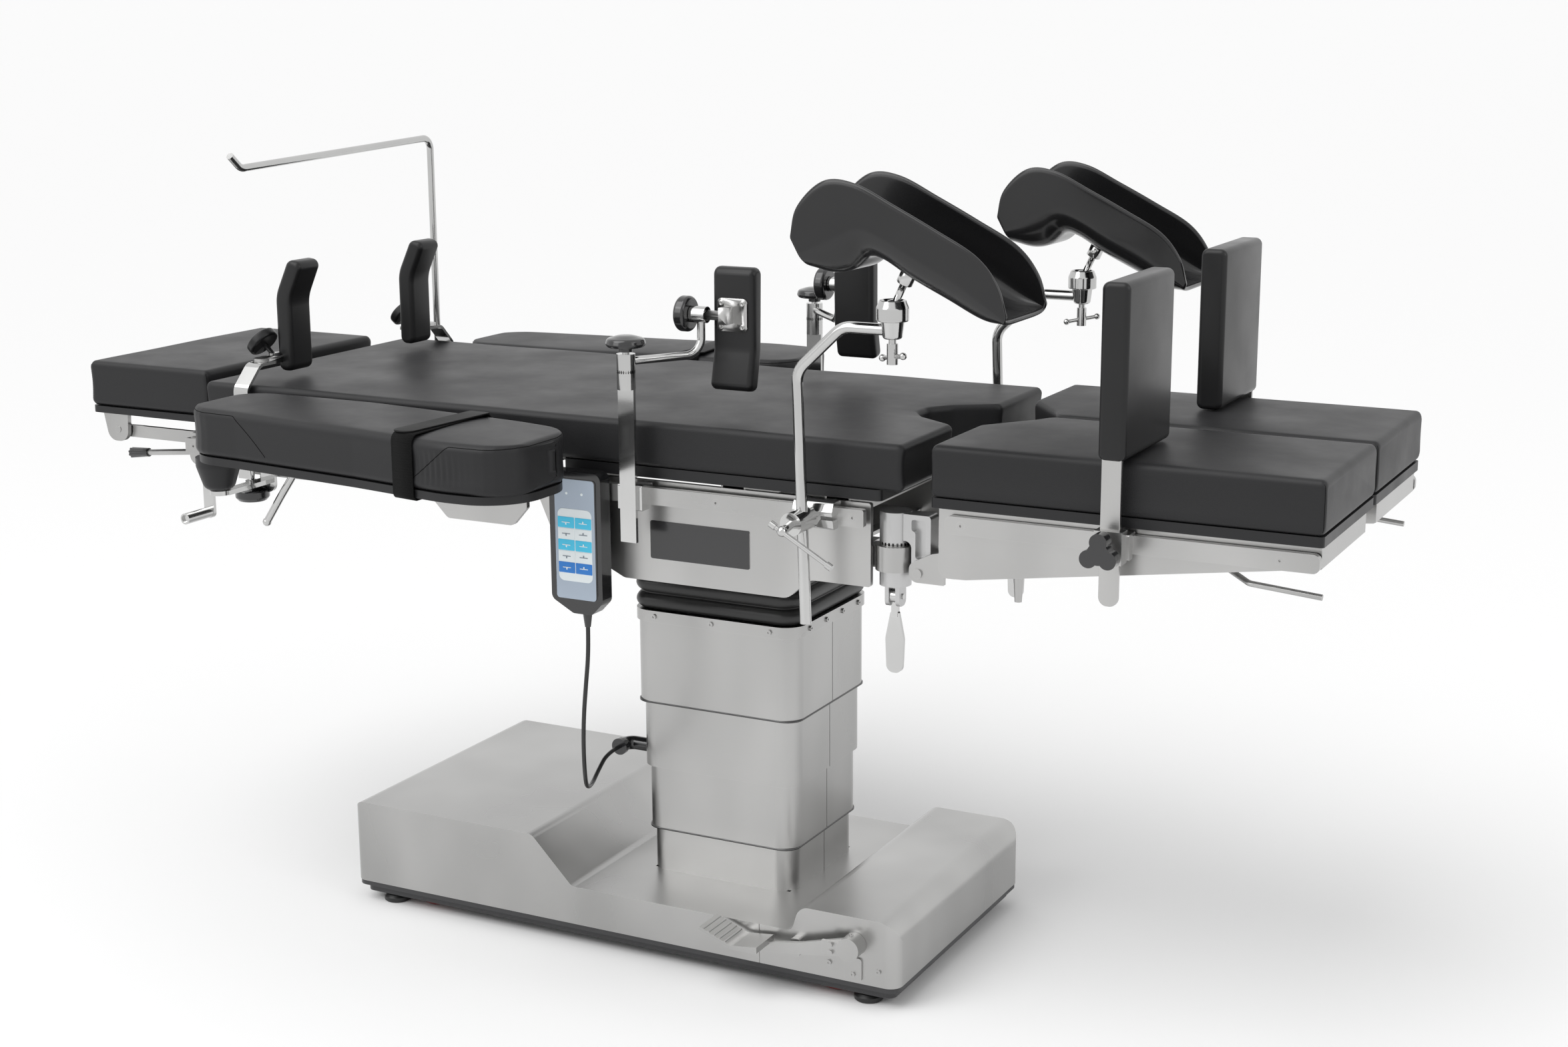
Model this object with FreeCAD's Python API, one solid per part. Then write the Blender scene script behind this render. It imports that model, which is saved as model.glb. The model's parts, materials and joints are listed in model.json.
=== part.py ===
"""Operating table with split legs, hinged back, head section and rail accessories.

Millimetres. X runs along the table towards the legs, Z is up, and the origin
lies on the floor under the middle of the table's length and width.
"""
import FreeCAD, Part
import math
import os

V = FreeCAD.Vector

# Table top: stations along X, and heights
HEAD_END_X = -1050.0
LEG_END_X = 1050.0
HEAD_PAD_REAR_X = -796.0
BACK_PAD_HEAD_X = -760.0
BACK_HEAD_X = -800.0
BACK_HINGE_X = -125.0
BACK_HINGE_Z = 742.0
SEAT_PAD_FOOT_X = 467.0
LEG_PAD_HEAD_X = 512.0
FOLD_HALF_LENGTH = 90.0
PAD_HALF_WIDTH = 266.0
HEAD_HALF_WIDTH = 220.0
LEG_PAD_OUT_Y = 275.0
LEG_PAD_IN_Y = 4.0
BOARD_UNDER_Z = 768.0
BOARD_THICKNESS = 16.0
HEAD_BOARD_THICKNESS = 11.0
HEAD_BOARD_UNDER_Z = 771.0
PAD_THICKNESS = 66.0
LEG_PAD_THICKNESS = 73.0
HEAD_PAD_THICKNESS = 75.0
PAD_EDGE_RADIUS = 8.0
SOFT_GAP = 0.3

# Opening in the seat's foot end
CUTOUT_MOUTH_HALF = 92.0
CUTOUT_FLOOR_HALF = 34.0
CUTOUT_DEPTH = 86.0

# Accessory rail, and how it stands off the side plates
RAIL_HEIGHT = 25.0
RAIL_DEPTH = 10.0
RAIL_Z = 744.0
LEG_RAIL_Z = 749.0
RAIL_OUT_Y = 275.0
RAIL_END_CHAMFER = 3.0
RAIL_SCREW_R = 6.0
RAIL_SPACER_R = 9.0

# Side plates
SEAT_PLATE_OUT_Y = 257.0
BACK_PLATE_OUT_Y = 262.0
LEG_PLATE_OUT_Y = 262.0
PLATE_THICKNESS = 8.0
LEG_PLATE_THICKNESS = 5.0
PLATE_TOP_Z = 763.0
SEAT_PLATE_FOOT_X = 415.0
SEAT_PLATE_DEEP_Z = 612.0
SEAT_PLATE_STEP_Z = 643.0

# Base
BASE_HEAD_X = -526.0
BASE_FOOT_X = 452.0
BASE_HALF_WIDTH = 240.0
BASE_COVER_WALL = 3.0
BASE_CORNER_R = 20.0
BASE_COVER_Z = 36.0
BASE_BLOCK_Z = 172.0
BASE_DECK_Z = 98.0
BASE_FOOT_BLOCK_Z = 138.0
BASE_PLATE_THICKNESS = 8.0
SKIRT_INSET = 12.0
SKIRT_WALL = 4.0
SKIRT_Z = 15.0
FOOT_R = 22.0
FOOT_X = 392.0
FOOT_Y = 208.0
FOOT_HEIGHT = 12.0
WHEEL_R = 50.0
WHEEL_WIDTH = 32.0
WHEEL_Y = 196.0
WHEEL_LIFT = 2.0
WHEEL_HEAD_X = -396.0
WHEEL_FOOT_X = 334.0
AXLE_R = 6.0
AXLE_CLEARANCE = 0.05

# Column: telescoping covers and masts
COLUMN_X = 89.0
COVER_TOP_HALF_X = 141.0
COVER_TOP_HALF_Y = 128.5
COVER_STEP = 5.0
COVER_WALL = 2.5
COVER_CORNER_R = 30.0
COVER_TOP_Z = 509.0
BAND_Z = 527.0
BAND_PROUD = 4.0
COVER_UPPER_Z = 377.0
COVER_MIDDLE_Z = 271.0
COVER_LOWER_Z = 167.0
COVER_MIDDLE_HEIGHT = 170.0
COVER_LOWER_HEIGHT = 168.0
COVER_BASE_HEIGHT = 136.0
LAST_COVER = 3
MAST_OUTER_HALF = 75.0
MAST_STEP = 13.0
MAST_WALL = 8.0
MAST_BASE_TOP_Z = 318.0
MAST_MIDDLE_Z = 165.0
MAST_MIDDLE_HEIGHT = 270.0
MAST_TOP_STAGE_Z = 225.0
RAM_R = 30.0
RAM_STEP = 9.0
SLIDE_GAP = 0.3
GUIDE_HEIGHT = 30.0
LIP_HEIGHT = 6.0
BELLOWS_RIBS = 4
PAN_Z = 633.0
PAN_THICKNESS = 6.0
BELLOWS_RIB_DEPTH = 9.0
BELLOWS_FLARE = 12.0

# Tilting joint on the column
PIVOT_Z = 578.0
TRUNNION_R = 12.0
RUNNING_CLEARANCE = 0.05
YOKE_EAR_Y = 45.0
YOKE_EAR_THICKNESS = 12.0
LUG_X = 52.0
MOUNT_HALF_Y = 112.0
LUG_THICKNESS = 16.0

# Head section links
HEAD_BACK_PIVOT_X = -830.0
HEAD_BACK_PIVOT_Z = 715.0
HEAD_PLATE_PIVOT_X = -1000.0
HEAD_PLATE_PIVOT_Z = 744.0
LINK_Y = 200.0
LINK_THICKNESS = 8.0
LINK_HEIGHT = 20.0
HEAD_EAR_GAP = 2.0
HEAD_EAR_THICKNESS = 8.0
HEAD_PIN_R = 6.0
CRANK_X = -783.0
CRANK_Z = 712.0
CRANK_LENGTH = 82.0

# Leg joints
LEG_PIVOT_X = 441.0
LEG_PIVOT_Y = 230.0
LEG_POST_R = 22.5
LEG_POST_TOP_Z = 751.0
LEG_POST_UNDER_Z = 709.0
COLLAR_Z = 667.0
COLLAR_HEIGHT = 36.0
COLLAR_R = 28.5
LEG_PIN_R = 12.0
FOLD_PIN_X = 485.0
FOLD_PIN_Z = 670.0
FOLD_PIN_R = 7.0
YOKE_WIDTH = 28.0
TEETH = 24
TOOTH_HEIGHT = 2.7
TOOTH_GAP = 0.5

# Back hinge
HINGE_PIN_R = 8.0
HINGE_EAR_THICKNESS = 10.0

# Arm boards
ARM_BOARD_Z = 762.0
ARM_BOARD_THICKNESS = 12.0
ARM_PAD_THICKNESS = 72.0
ARM_PIVOT_X = -632.0
ARM_PIVOT_Y = 390.0
ARM_CLAMP_X = -619.0
ARM_KNOB_Y = 300.0
ARM_STUD_R = 7.0

# Accessory rods and posts
SHOULDER_X = -675.0
SHOULDER_BAND_WIDTH = 28.0
SHOULDER_BAND_THICKNESS = 5.0
SHOULDER_TOP_Z = 880.0
SCREEN_X = -704.0
SCREEN_Y = 290.0
SCREEN_ROD_R = 6.0
LATERAL_X = 50.0
LATERAL_Y = 300.0
LATERAL_BAR_WIDTH = 26.0
LATERAL_BAR_THICKNESS = 6.0
LATERAL_COLLAR_R = 13.5
LATERAL_TOP_Z = 906.0
LATERAL_ARM_END_Y = 198.0
LATERAL_FRONT_END_X = 116.0
LATERAL_REAR_END_X = 144.0
HOLDER_X = 335.0
HOLDER_Y = 315.0
HOLDER_ROD_R = 8.0
HOLDER_REACH = 138.0
HOLDER_BALL_R = 13.0
HOLDER_BALL_RISE = 28.0
HOLDER_TOP_Z = 1016.0
HOLDER_LEAN_X = 12.5
REAR_HOLDER_SHIFT_X = 36.0
REAR_HOLDER_DROP = 27.0
TROUGH_WIDTH = 148.0
TROUGH_WALL = 7.0
TROUGH_STEM_R = 5.0
SLEEVE_R = 11.0
SLEEVE_FROM = 38.0
SLEEVE_LENGTH = 39.0
GUTTER_CORNER_R = 44.0
SIDE_BAR_X = 777.0
SIDE_BAR_Y = 297.0
SIDE_PAD_IN_Y = 116.0

# Hand control and its cable
CONTROL_X = -39.0
CONTROL_WIDTH = 88.0
CONTROL_THICKNESS = 30.0
CONTROL_Z = 562.0
CONTROL_HEIGHT = 213.0
CABLE_R = 3.25
CABLE_EXIT_X = -30.0
CONTROL_Y = -292.0


def box(x0, x1, y0, y1, z0, z1):
    """A block between two limits on each axis."""
    return Part.makeBox(x1 - x0, y1 - y0, z1 - z0, V(x0, y0, z0))


def rod(start, end, radius):
    """A round bar between two points."""
    start, end = V(*start), V(*end)
    return Part.makeCylinder(radius, (end - start).Length, start, end - start)


def tube(start, end, radius, bore):
    """A round tube between two points."""
    start, end = V(*start), V(*end)
    along = (end - start).normalize()
    return rod(start, end, radius).cut(rod(start - along, end + along, bore))


def cone(start, end, r_start, r_end):
    """A tapered round piece between two points."""
    start, end = V(*start), V(*end)
    return Part.makeCone(r_start, r_end, (end - start).Length, start, end - start)


def union(*shapes):
    """All the shapes fused into one, with coplanar faces merged."""
    first, rest = shapes[0], list(shapes[1:])
    return (first.fuse(rest) if rest else first).removeSplitter()


def mirrored(shape):
    """The same shape on the other side of the table."""
    return shape.mirror(V(0, 0, 0), V(0, 1, 0))


def both(shape):
    """A piece and its mirror image, as separate solids."""
    return [shape, mirrored(shape)]


def flat_wire(points):
    """A closed outline in the XY plane; each point is (u, v, corner radius)."""
    corners = []
    count = len(points)
    for i, (u, v, radius) in enumerate(points):
        here = V(u, v, 0)
        before = (V(points[i - 1][0], points[i - 1][1], 0) - here).normalize()
        after = (V(points[(i + 1) % count][0], points[(i + 1) % count][1], 0) - here).normalize()
        if radius == 0:
            corners.append((here, None, here))
            continue
        half = before.getAngle(after) / 2
        reach = radius / math.tan(half)
        middle = (before + after).normalize() * (radius / math.sin(half) - radius)
        corners.append((here + before * reach, here + middle, here + after * reach))
    edges = []
    for i, (start, middle, end) in enumerate(corners):
        if middle is not None:
            edges.append(Part.Arc(start, middle, end).toShape())
        following = corners[(i + 1) % count][0]
        if end.distanceToPoint(following) > 1e-6:
            edges.append(Part.LineSegment(end, following).toShape())
    return Part.Wire(edges)


def prism(points, plane, low, high):
    """A plate with rounded corners, between two levels across the named plane."""
    shape = Part.Face(flat_wire(points)).extrude(V(0, 0, high - low))
    shape.translate(V(0, 0, low))
    if plane == "xz":
        shape.rotate(V(0, 0, 0), V(1, 0, 0), 90)
        shape = shape.mirror(V(0, 0, 0), V(0, 1, 0))
    elif plane == "yz":
        shape.rotate(V(0, 0, 0), V(1, 1, 1), 120)
    return shape


def rectangle(u0, u1, v0, v1, radius):
    """The four points of a rectangle with rounded corners."""
    return [(u0, v0, radius), (u1, v0, radius), (u1, v1, radius), (u0, v1, radius)]


def strip(points, thickness, radius):
    """The outline of a bent flat bar: its centre line offset to both sides."""
    half = thickness / 2
    left, right = [], []
    for i, (u, v) in enumerate(points):
        here = V(u, v, 0)
        ahead = (V(*points[i + 1], 0) - here).normalize() if i + 1 < len(points) else None
        behind = (here - V(*points[i - 1], 0)).normalize() if i else None
        if ahead is None or behind is None:
            along = ahead or behind
            side = V(-along.y, along.x, 0) * half
            left.append((here.x + side.x, here.y + side.y, 0))
            right.append((here.x - side.x, here.y - side.y, 0))
            continue
        bisector = (V(-ahead.y, ahead.x, 0) + V(-behind.y, behind.x, 0)).normalize()
        side = bisector * (half / bisector.dot(V(-ahead.y, ahead.x, 0)))
        turn_left = behind.cross(ahead).z > 0
        inner, outer = radius, radius + thickness
        left.append((here.x + side.x, here.y + side.y, inner if turn_left else outer))
        right.append((here.x - side.x, here.y - side.y, outer if turn_left else inner))
    return left + right[::-1]


def bend_route(points, radii):
    """A wire of straight runs joined by tangent arcs of the given radii."""
    pts = [V(*p) for p in points]
    edges = []
    start = pts[0]
    for i in range(1, len(pts) - 1):
        back = (pts[i - 1] - pts[i]).normalize()
        ahead = (pts[i + 1] - pts[i]).normalize()
        half = back.getAngle(ahead) / 2
        reach = radii[i - 1] / math.tan(half)
        middle = (back + ahead).normalize() * (radii[i - 1] / math.sin(half) - radii[i - 1])
        arc_start, arc_end = pts[i] + back * reach, pts[i] + ahead * reach
        edges.append(Part.LineSegment(start, arc_start).toShape())
        edges.append(Part.Arc(arc_start, pts[i] + middle, arc_end).toShape())
        start = arc_end
    edges.append(Part.LineSegment(start, pts[-1]).toShape())
    return Part.Wire(edges)


def bent_rod(points, radius, bend):
    """A round bar bent to one radius at each of its inner points."""
    route = bend_route(points, [bend] * (len(points) - 2))
    along = V(*points[1]) - V(*points[0])
    ring = Part.Wire(Part.Circle(V(*points[0]), along, radius).toShape())
    return route.makePipeShell([ring], True, False)


def rounded_pad(points, low, high, radius):
    """A cushion with its top edges rounded over."""
    shape = prism(points, "xy", low, high)
    rim = [e for e in shape.Edges if abs(e.BoundBox.ZMin - high) < 1e-6 and e.BoundBox.ZLength < 1e-6]
    return shape.makeFillet(radius, rim)


def revolve_z(profile, x, y):
    """A turned piece about a vertical axis; profile is (radius, height, corner radius)."""
    face = Part.Face(flat_wire(profile))
    face.rotate(V(0, 0, 0), V(1, 0, 0), 90)
    shape = face.revolve(V(0, 0, 0), V(0, 0, 1), 360)
    shape.translate(V(x, y, 0))
    return shape


def socket_screw(tip, outward, radius, head=2.5, hexagon=True):
    """A pan screw head standing on a surface, with its socket."""
    tip, outward = V(*tip), V(*outward).normalize()
    body = Part.makeCylinder(radius, head, tip, outward)
    if hexagon:
        body = body.cut(Part.makeCylinder(radius * 0.42, head * 0.7, tip + outward * head * 0.5, outward))
    return body


def export(node, solids):
    """Write one sub-part; a list becomes separate solids in one node."""
    shape = Part.makeCompound(solids) if isinstance(solids, list) else solids
    shape.exportStep(f"parts/{node}.step")


def cover_profile(inset):
    """Side view of the base cover: head block, deck and foot block."""
    slope = 73.0
    deck_head_x = COLUMN_X - COVER_TOP_HALF_X - 53.0
    block_end_x = deck_head_x - slope
    i = inset
    shift = i * math.tan(math.radians(22.5))
    return [
        (BASE_HEAD_X + i, BASE_COVER_Z, 0),
        (BASE_HEAD_X + i, BASE_BLOCK_Z - i, 24 - i),
        (block_end_x - shift, BASE_BLOCK_Z - i, 20 - i),
        (deck_head_x - shift, BASE_DECK_Z - i, 14 + i),
        (BASE_FOOT_X - 172 + i, BASE_DECK_Z - i, 12 + i),
        (BASE_FOOT_X - 160 + i, BASE_FOOT_BLOCK_Z - i, 22 - i),
        (BASE_FOOT_X - i, BASE_FOOT_BLOCK_Z - i, 32 - i),
        (BASE_FOOT_X - i, BASE_COVER_Z, 0),
    ]


def cover_block(inset):
    """The cover's solid form, inset evenly from its outside."""
    half = BASE_HALF_WIDTH - inset
    body = prism(cover_profile(inset), "xz", -half, half)
    plan = prism(rectangle(BASE_HEAD_X + inset, BASE_FOOT_X - inset, -half, half, BASE_CORNER_R - inset),
                 "xy", BASE_COVER_Z, BASE_BLOCK_Z)
    return body.common(plan)


def base_cover():
    """Folded stainless cover over the base, open below and round the column."""
    half = BASE_HALF_WIDTH
    shell = cover_block(0).cut(cover_block(BASE_COVER_WALL))
    hole_x = COVER_TOP_HALF_X - 3 * COVER_STEP - 6
    hole_y = COVER_TOP_HALF_Y - 3 * COVER_STEP - 6
    opening = box(COLUMN_X - hole_x, COLUMN_X + hole_x, -hole_y, hole_y, BASE_DECK_Z - 20, BASE_DECK_Z + 20)
    seam = box(BASE_FOOT_X - 227, BASE_FOOT_X - 225.5, -half - 1, -half + 1, BASE_COVER_Z, BASE_DECK_Z)
    return shell.cut([opening, seam, mirrored(seam)])


def cover_fittings():
    """Strip, screws and lug round the brake pedal's boss on the cover's side."""
    y = -BASE_HALF_WIDTH
    strip_plate = prism(rectangle(BASE_FOOT_X - 84, BASE_FOOT_X - 56, BASE_COVER_Z + 4, BASE_DECK_Z - 22, 5),
                        "xz", y - 3, y)
    lug = prism(rectangle(BASE_FOOT_X - 168, BASE_FOOT_X - 153, BASE_DECK_Z - 34, BASE_DECK_Z - 6, 4),
                "xz", y - 12, y)
    pieces = [strip_plate, lug]
    pieces += [socket_screw((BASE_FOOT_X - dx, y, z), (0, -1, 0), 4)
               for dx, z in ((110, 60), (30, 60))]
    pieces.append(socket_screw((BASE_FOOT_X - 70, y - 3, BASE_COVER_Z + 14), (0, -1, 0), 4))
    return pieces


def wheel_well(x, y):
    """The hole in the base plate that a castor stands in."""
    return box(x - WHEEL_R, x + WHEEL_R, y - WHEEL_WIDTH / 2 - 8, y + WHEEL_WIDTH / 2 + 8, 0, BASE_COVER_Z + 1)


def castor_cheeks(x, y):
    """Two cheeks standing on the base plate, each side of a wheel, bored for the axle."""
    axle_z = WHEEL_R + WHEEL_LIFT
    pieces = []
    for side in (-1, 1):
        inner = y + side * (WHEEL_WIDTH / 2 + 2)
        low, high = sorted((inner, inner + side * 5))
        outline = [(x - 75, BASE_COVER_Z, 0), (x + 75, BASE_COVER_Z, 0), (x + 20, axle_z + 18, 16),
                   (x - 20, axle_z + 18, 16)]
        cheek = prism(outline, "xz", low, high)
        bore = rod((x, low - 1, axle_z), (x, high + 1, axle_z), AXLE_R + AXLE_CLEARANCE)
        pieces.append(cheek.cut(bore))
    return pieces


def mast_stage(index, low, high):
    """One square mast tube with its guide collar, and its ram tube inside."""
    half = MAST_OUTER_HALF - index * MAST_STEP
    outer = prism(rectangle(COLUMN_X - half, COLUMN_X + half, -half, half, 8), "xy", low, high)
    inner = half - MAST_WALL
    hollow = prism(rectangle(COLUMN_X - inner, COLUMN_X + inner, -inner, inner, 4), "xy", low - 1, high + 1)
    if index:
        guide_half = half + MAST_STEP - MAST_WALL - SLIDE_GAP
        guide = prism(rectangle(COLUMN_X - guide_half, COLUMN_X + guide_half, -guide_half, guide_half, 8),
                      "xy", low, low + GUIDE_HEIGHT)
        outer = union(outer, guide)
    ram_r = RAM_R - index * RAM_STEP
    if index == 2:
        ram = rod((COLUMN_X, 0, low + 5), (COLUMN_X, 0, high), ram_r)
    else:
        ram = tube((COLUMN_X, 0, low + 5), (COLUMN_X, 0, high), ram_r, ram_r - RAM_STEP + SLIDE_GAP)
    return outer.cut(hollow), ram


def base_chassis():
    """Steel base plate with skirt, castor brackets, fixed mast tube and ram barrel."""
    edge = BASE_COVER_WALL / 2
    under = BASE_COVER_Z - BASE_PLATE_THICKNESS
    plate = prism(rectangle(BASE_HEAD_X + edge, BASE_FOOT_X - edge, -BASE_HALF_WIDTH + edge,
                            BASE_HALF_WIDTH - edge, 18), "xy", under, BASE_COVER_Z)
    ring_out = SKIRT_INSET
    ring_in = SKIRT_INSET + SKIRT_WALL
    skirt = prism(rectangle(BASE_HEAD_X + ring_out, BASE_FOOT_X - ring_out, -BASE_HALF_WIDTH + ring_out,
                            BASE_HALF_WIDTH - ring_out, 14), "xy", SKIRT_Z, under)
    skirt = skirt.cut(prism(rectangle(BASE_HEAD_X + ring_in, BASE_FOOT_X - ring_in, -BASE_HALF_WIDTH + ring_in,
                                      BASE_HALF_WIDTH - ring_in, 10), "xy", SKIRT_Z - 1, under + 1))
    shape = union(plate, skirt)
    wells = [wheel_well(x, y) for x in (WHEEL_HEAD_X, WHEEL_FOOT_X) for y in (-WHEEL_Y, WHEEL_Y)]
    shape = shape.cut(wells)
    cheeks = [c for x in (WHEEL_HEAD_X, WHEEL_FOOT_X) for y in (-WHEEL_Y, WHEEL_Y) for c in castor_cheeks(x, y)]
    mast = mast_stage(0, BASE_COVER_Z, MAST_BASE_TOP_Z)[0]
    base_ram = tube((COLUMN_X, 0, BASE_COVER_Z), (COLUMN_X, 0, MAST_BASE_TOP_Z), RAM_R, RAM_R - RAM_STEP + SLIDE_GAP)
    flange_half = COVER_TOP_HALF_Y - 3 * COVER_STEP - 8
    flange = prism(rectangle(COLUMN_X - flange_half, COLUMN_X + flange_half, -flange_half, flange_half, 10),
                   "xy", BASE_COVER_Z, BASE_COVER_Z + 10)
    base = union(shape, flange.cut(rod((COLUMN_X, 0, 0), (COLUMN_X, 0, 100), RAM_R - RAM_STEP + SLIDE_GAP)),
                 mast, base_ram, *cheeks)
    return base.cut(rod((COLUMN_X, 0, BASE_COVER_Z + 3), (COLUMN_X, 0, MAST_BASE_TOP_Z + 1), RAM_R - RAM_STEP + SLIDE_GAP))


def floor_feet():
    """Four levelling feet: a disc with a ribbed rim on a threaded stem."""
    top = BASE_COVER_Z - BASE_PLATE_THICKNESS
    profile = [(0, 0, 0), (FOOT_R - 2, 0, 0), (FOOT_R, 2, 0), (FOOT_R, FOOT_HEIGHT - 4, 0),
               (FOOT_R - 4, FOOT_HEIGHT, 0), (9, FOOT_HEIGHT, 0), (7, FOOT_HEIGHT + 2, 0), (7, top, 0), (0, top, 0)]
    head_x = BASE_HEAD_X + (BASE_FOOT_X - FOOT_X)
    return [revolve_z(profile, x, y) for x in (head_x, FOOT_X) for y in (-FOOT_Y, FOOT_Y)]


def castor_pair(x):
    """Two wheels on one axle: hub, web and rounded tyre."""
    z = WHEEL_R + WHEEL_LIFT
    half = WHEEL_WIDTH / 2
    profile = [(0, -half - 1.5, 0), (14, -half - 1.5, 0), (14, -half + 6, 0), (WHEEL_R - 14, -half + 6, 0),
               (WHEEL_R - 12, -half, 0), (WHEEL_R, -half, 7), (WHEEL_R, half, 7), (WHEEL_R - 12, half, 0),
               (WHEEL_R - 14, half - 6, 0), (14, half - 6, 0), (14, half + 1.5, 0), (0, half + 1.5, 0)]
    wheels = []
    for y in (-WHEEL_Y, WHEEL_Y):
        wheel = revolve_z(profile, 0, 0)
        wheel.rotate(V(0, 0, 0), V(1, 0, 0), 90)
        wheel.translate(V(x, y, z))
        wheels.append(wheel)
    reach = WHEEL_Y + half + 9
    return union(rod((x, -reach, z), (x, reach, z), AXLE_R), *wheels)


def brake_pedal():
    """Pedal on the cover's side: boss, curved flat arm and chequered tread."""
    x, z = BASE_FOOT_X - 67, BASE_DECK_Z
    y = -BASE_HALF_WIDTH - SOFT_GAP
    boss = rod((x, y, z), (x, y - 28, z), 17.5)
    arm = [(x - 8, z - 13, 0), (x + 6, z - 13, 6), (x + 6, z + 13, 6), (x - 12, z + 13, 10),
           (x - 80, z - 6, 60), (x - 140, z - 16, 30), (x - 178, z - 14, 0), (x - 178, z - 26, 4),
           (x - 138, z - 30, 30), (x - 78, z - 24, 60)]
    arm = prism(arm, "xz", y - 22, y - 16)
    clamp = box(x - 42, x - 12, y - 27, y - 22, z - 12, z + 8)
    bolts = [rod((x - 27, y - 31, z + dz), (x - 27, y - 22, z + dz), 4) for dz in (-8, 4)]
    tread_profile = [(x - 228, z + 6, 0), (x - 176, z - 14, 22), (x - 132, z - 9, 0), (x - 132, z - 18.5, 0),
                     (x - 176, z - 19.5, 27), (x - 230, z + 1.5, 0)]
    tread = prism(tread_profile, "xz", y - 61, y - 6)
    slope = math.atan2(20, 52)
    ribs = []
    for i in range(5):
        u = x - 222 + 9 * i
        v = z + 3.4 - 9 * i * math.tan(slope)
        ribs.append(rod((u, y - 60, v), (u, y - 7, v), 1.8))
    screw = socket_screw((x, y - 14, z + 17), (0, 0, 1), 3)
    return union(boss, arm, clamp, tread, screw, *bolts, *ribs)


def cover_section(index, low, high):
    """One telescoping column cover, counted from the top, with a seam and a lip that slides on the next."""
    half_x = COVER_TOP_HALF_X - index * COVER_STEP
    half_y = COVER_TOP_HALF_Y - index * COVER_STEP
    outer = prism(rectangle(COLUMN_X - half_x, COLUMN_X + half_x, -half_y, half_y, COVER_CORNER_R), "xy", low, high)
    in_x, in_y = half_x - COVER_WALL, half_y - COVER_WALL
    inner = prism(rectangle(COLUMN_X - in_x, COLUMN_X + in_x, -in_y, in_y, COVER_CORNER_R - COVER_WALL),
                  "xy", low - 1, high + 1)
    seam = box(COLUMN_X + half_x - 1, COLUMN_X + half_x + 1, -0.8, 0.8, low - 1, high + 1)
    cover = outer.cut([inner, seam])
    if index < LAST_COVER:
        next_x, next_y = half_x - COVER_STEP + SLIDE_GAP, half_y - COVER_STEP + SLIDE_GAP
        lip = prism(rectangle(COLUMN_X - in_x - 0.5, COLUMN_X + in_x + 0.5, -in_y - 0.5, in_y + 0.5,
                              COVER_CORNER_R - COVER_WALL), "xy", low, low + LIP_HEIGHT)
        cover = union(cover, lip.cut(prism(rectangle(COLUMN_X - next_x, COLUMN_X + next_x, -next_y, next_y,
                                                     COVER_CORNER_R + SLIDE_GAP), "xy", low - 1, low + LIP_HEIGHT + 1)))
    return cover


def column_cover_upper():
    """Top column cover with the thicker band that carries the bellows."""
    skin = cover_section(0, COVER_UPPER_Z, COVER_TOP_Z)
    half_x = COVER_TOP_HALF_X + BAND_PROUD
    half_y = COVER_TOP_HALF_Y + BAND_PROUD
    band = prism(rectangle(COLUMN_X - half_x, COLUMN_X + half_x, -half_y, half_y, COVER_CORNER_R + BAND_PROUD),
                 "xy", COVER_TOP_Z, BAND_Z)
    in_x, in_y = half_x - BAND_PROUD - COVER_WALL - 6, half_y - BAND_PROUD - COVER_WALL - 6
    band = band.cut(prism(rectangle(COLUMN_X - in_x, COLUMN_X + in_x, -in_y, in_y, COVER_CORNER_R - 8),
                          "xy", COVER_TOP_Z - 1, BAND_Z + 1))
    z = (COVER_TOP_Z + BAND_Z) / 2
    screws = []
    for dx in (-100, 0, 100):
        for side in (-1, 1):
            screws.append(socket_screw((COLUMN_X + dx, side * half_y, z), (0, side, 0), 4))
    for dy in (-84, -28, 28, 84):
        for side in (-1, 1):
            screws.append(socket_screw((COLUMN_X + side * half_x, dy, z), (side, 0, 0), 4))
    return [union(skin, band)] + screws


def cable_socket():
    """Elbow on the middle cover that the hand control's cable plugs into."""
    face_x = COLUMN_X - COVER_TOP_HALF_X + COVER_STEP
    y, z = -70.0, COVER_MIDDLE_Z + 14
    flange = rod((face_x, y, z), (face_x - 5, y, z), 17)
    elbow = bent_rod([(face_x - 4, y, z), (face_x - 52, y, z), (face_x - 52, y - 24, z)], 11, 16)
    ring = rod((face_x - 52, y - 22, z), (face_x - 52, y - 30, z), 13.5)
    return union(flange, elbow, ring)


def mast_top_stage():
    """Innermost mast tube, the plate that closes the column and the two yoke ears."""
    mast, ram = mast_stage(2, MAST_TOP_STAGE_Z, COVER_TOP_Z)
    reach_x = COVER_TOP_HALF_X - COVER_WALL - SOFT_GAP
    reach_y = COVER_TOP_HALF_Y - COVER_WALL - SOFT_GAP
    plate = prism(rectangle(COLUMN_X - reach_x + 6, COLUMN_X + reach_x - 6, -reach_y + 6, reach_y - 6,
                            COVER_CORNER_R - 8), "xy", COVER_TOP_Z, COVER_TOP_Z + 12)
    ears = []
    for side in (-1, 1):
        low, high = sorted((side * YOKE_EAR_Y, side * (YOKE_EAR_Y + YOKE_EAR_THICKNESS)))
        outline = [(COLUMN_X - 34, COVER_TOP_Z + 12, 0), (COLUMN_X + 34, COVER_TOP_Z + 12, 0),
                   (COLUMN_X + 22, PIVOT_Z + 22, 20), (COLUMN_X - 22, PIVOT_Z + 22, 20)]
        bore = rod((COLUMN_X, low - 1, PIVOT_Z), (COLUMN_X, high + 1, PIVOT_Z), TRUNNION_R)
        ears.append(prism(outline, "xz", low, high).cut(bore))
    return union(mast, plate, ram, *ears)


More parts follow.
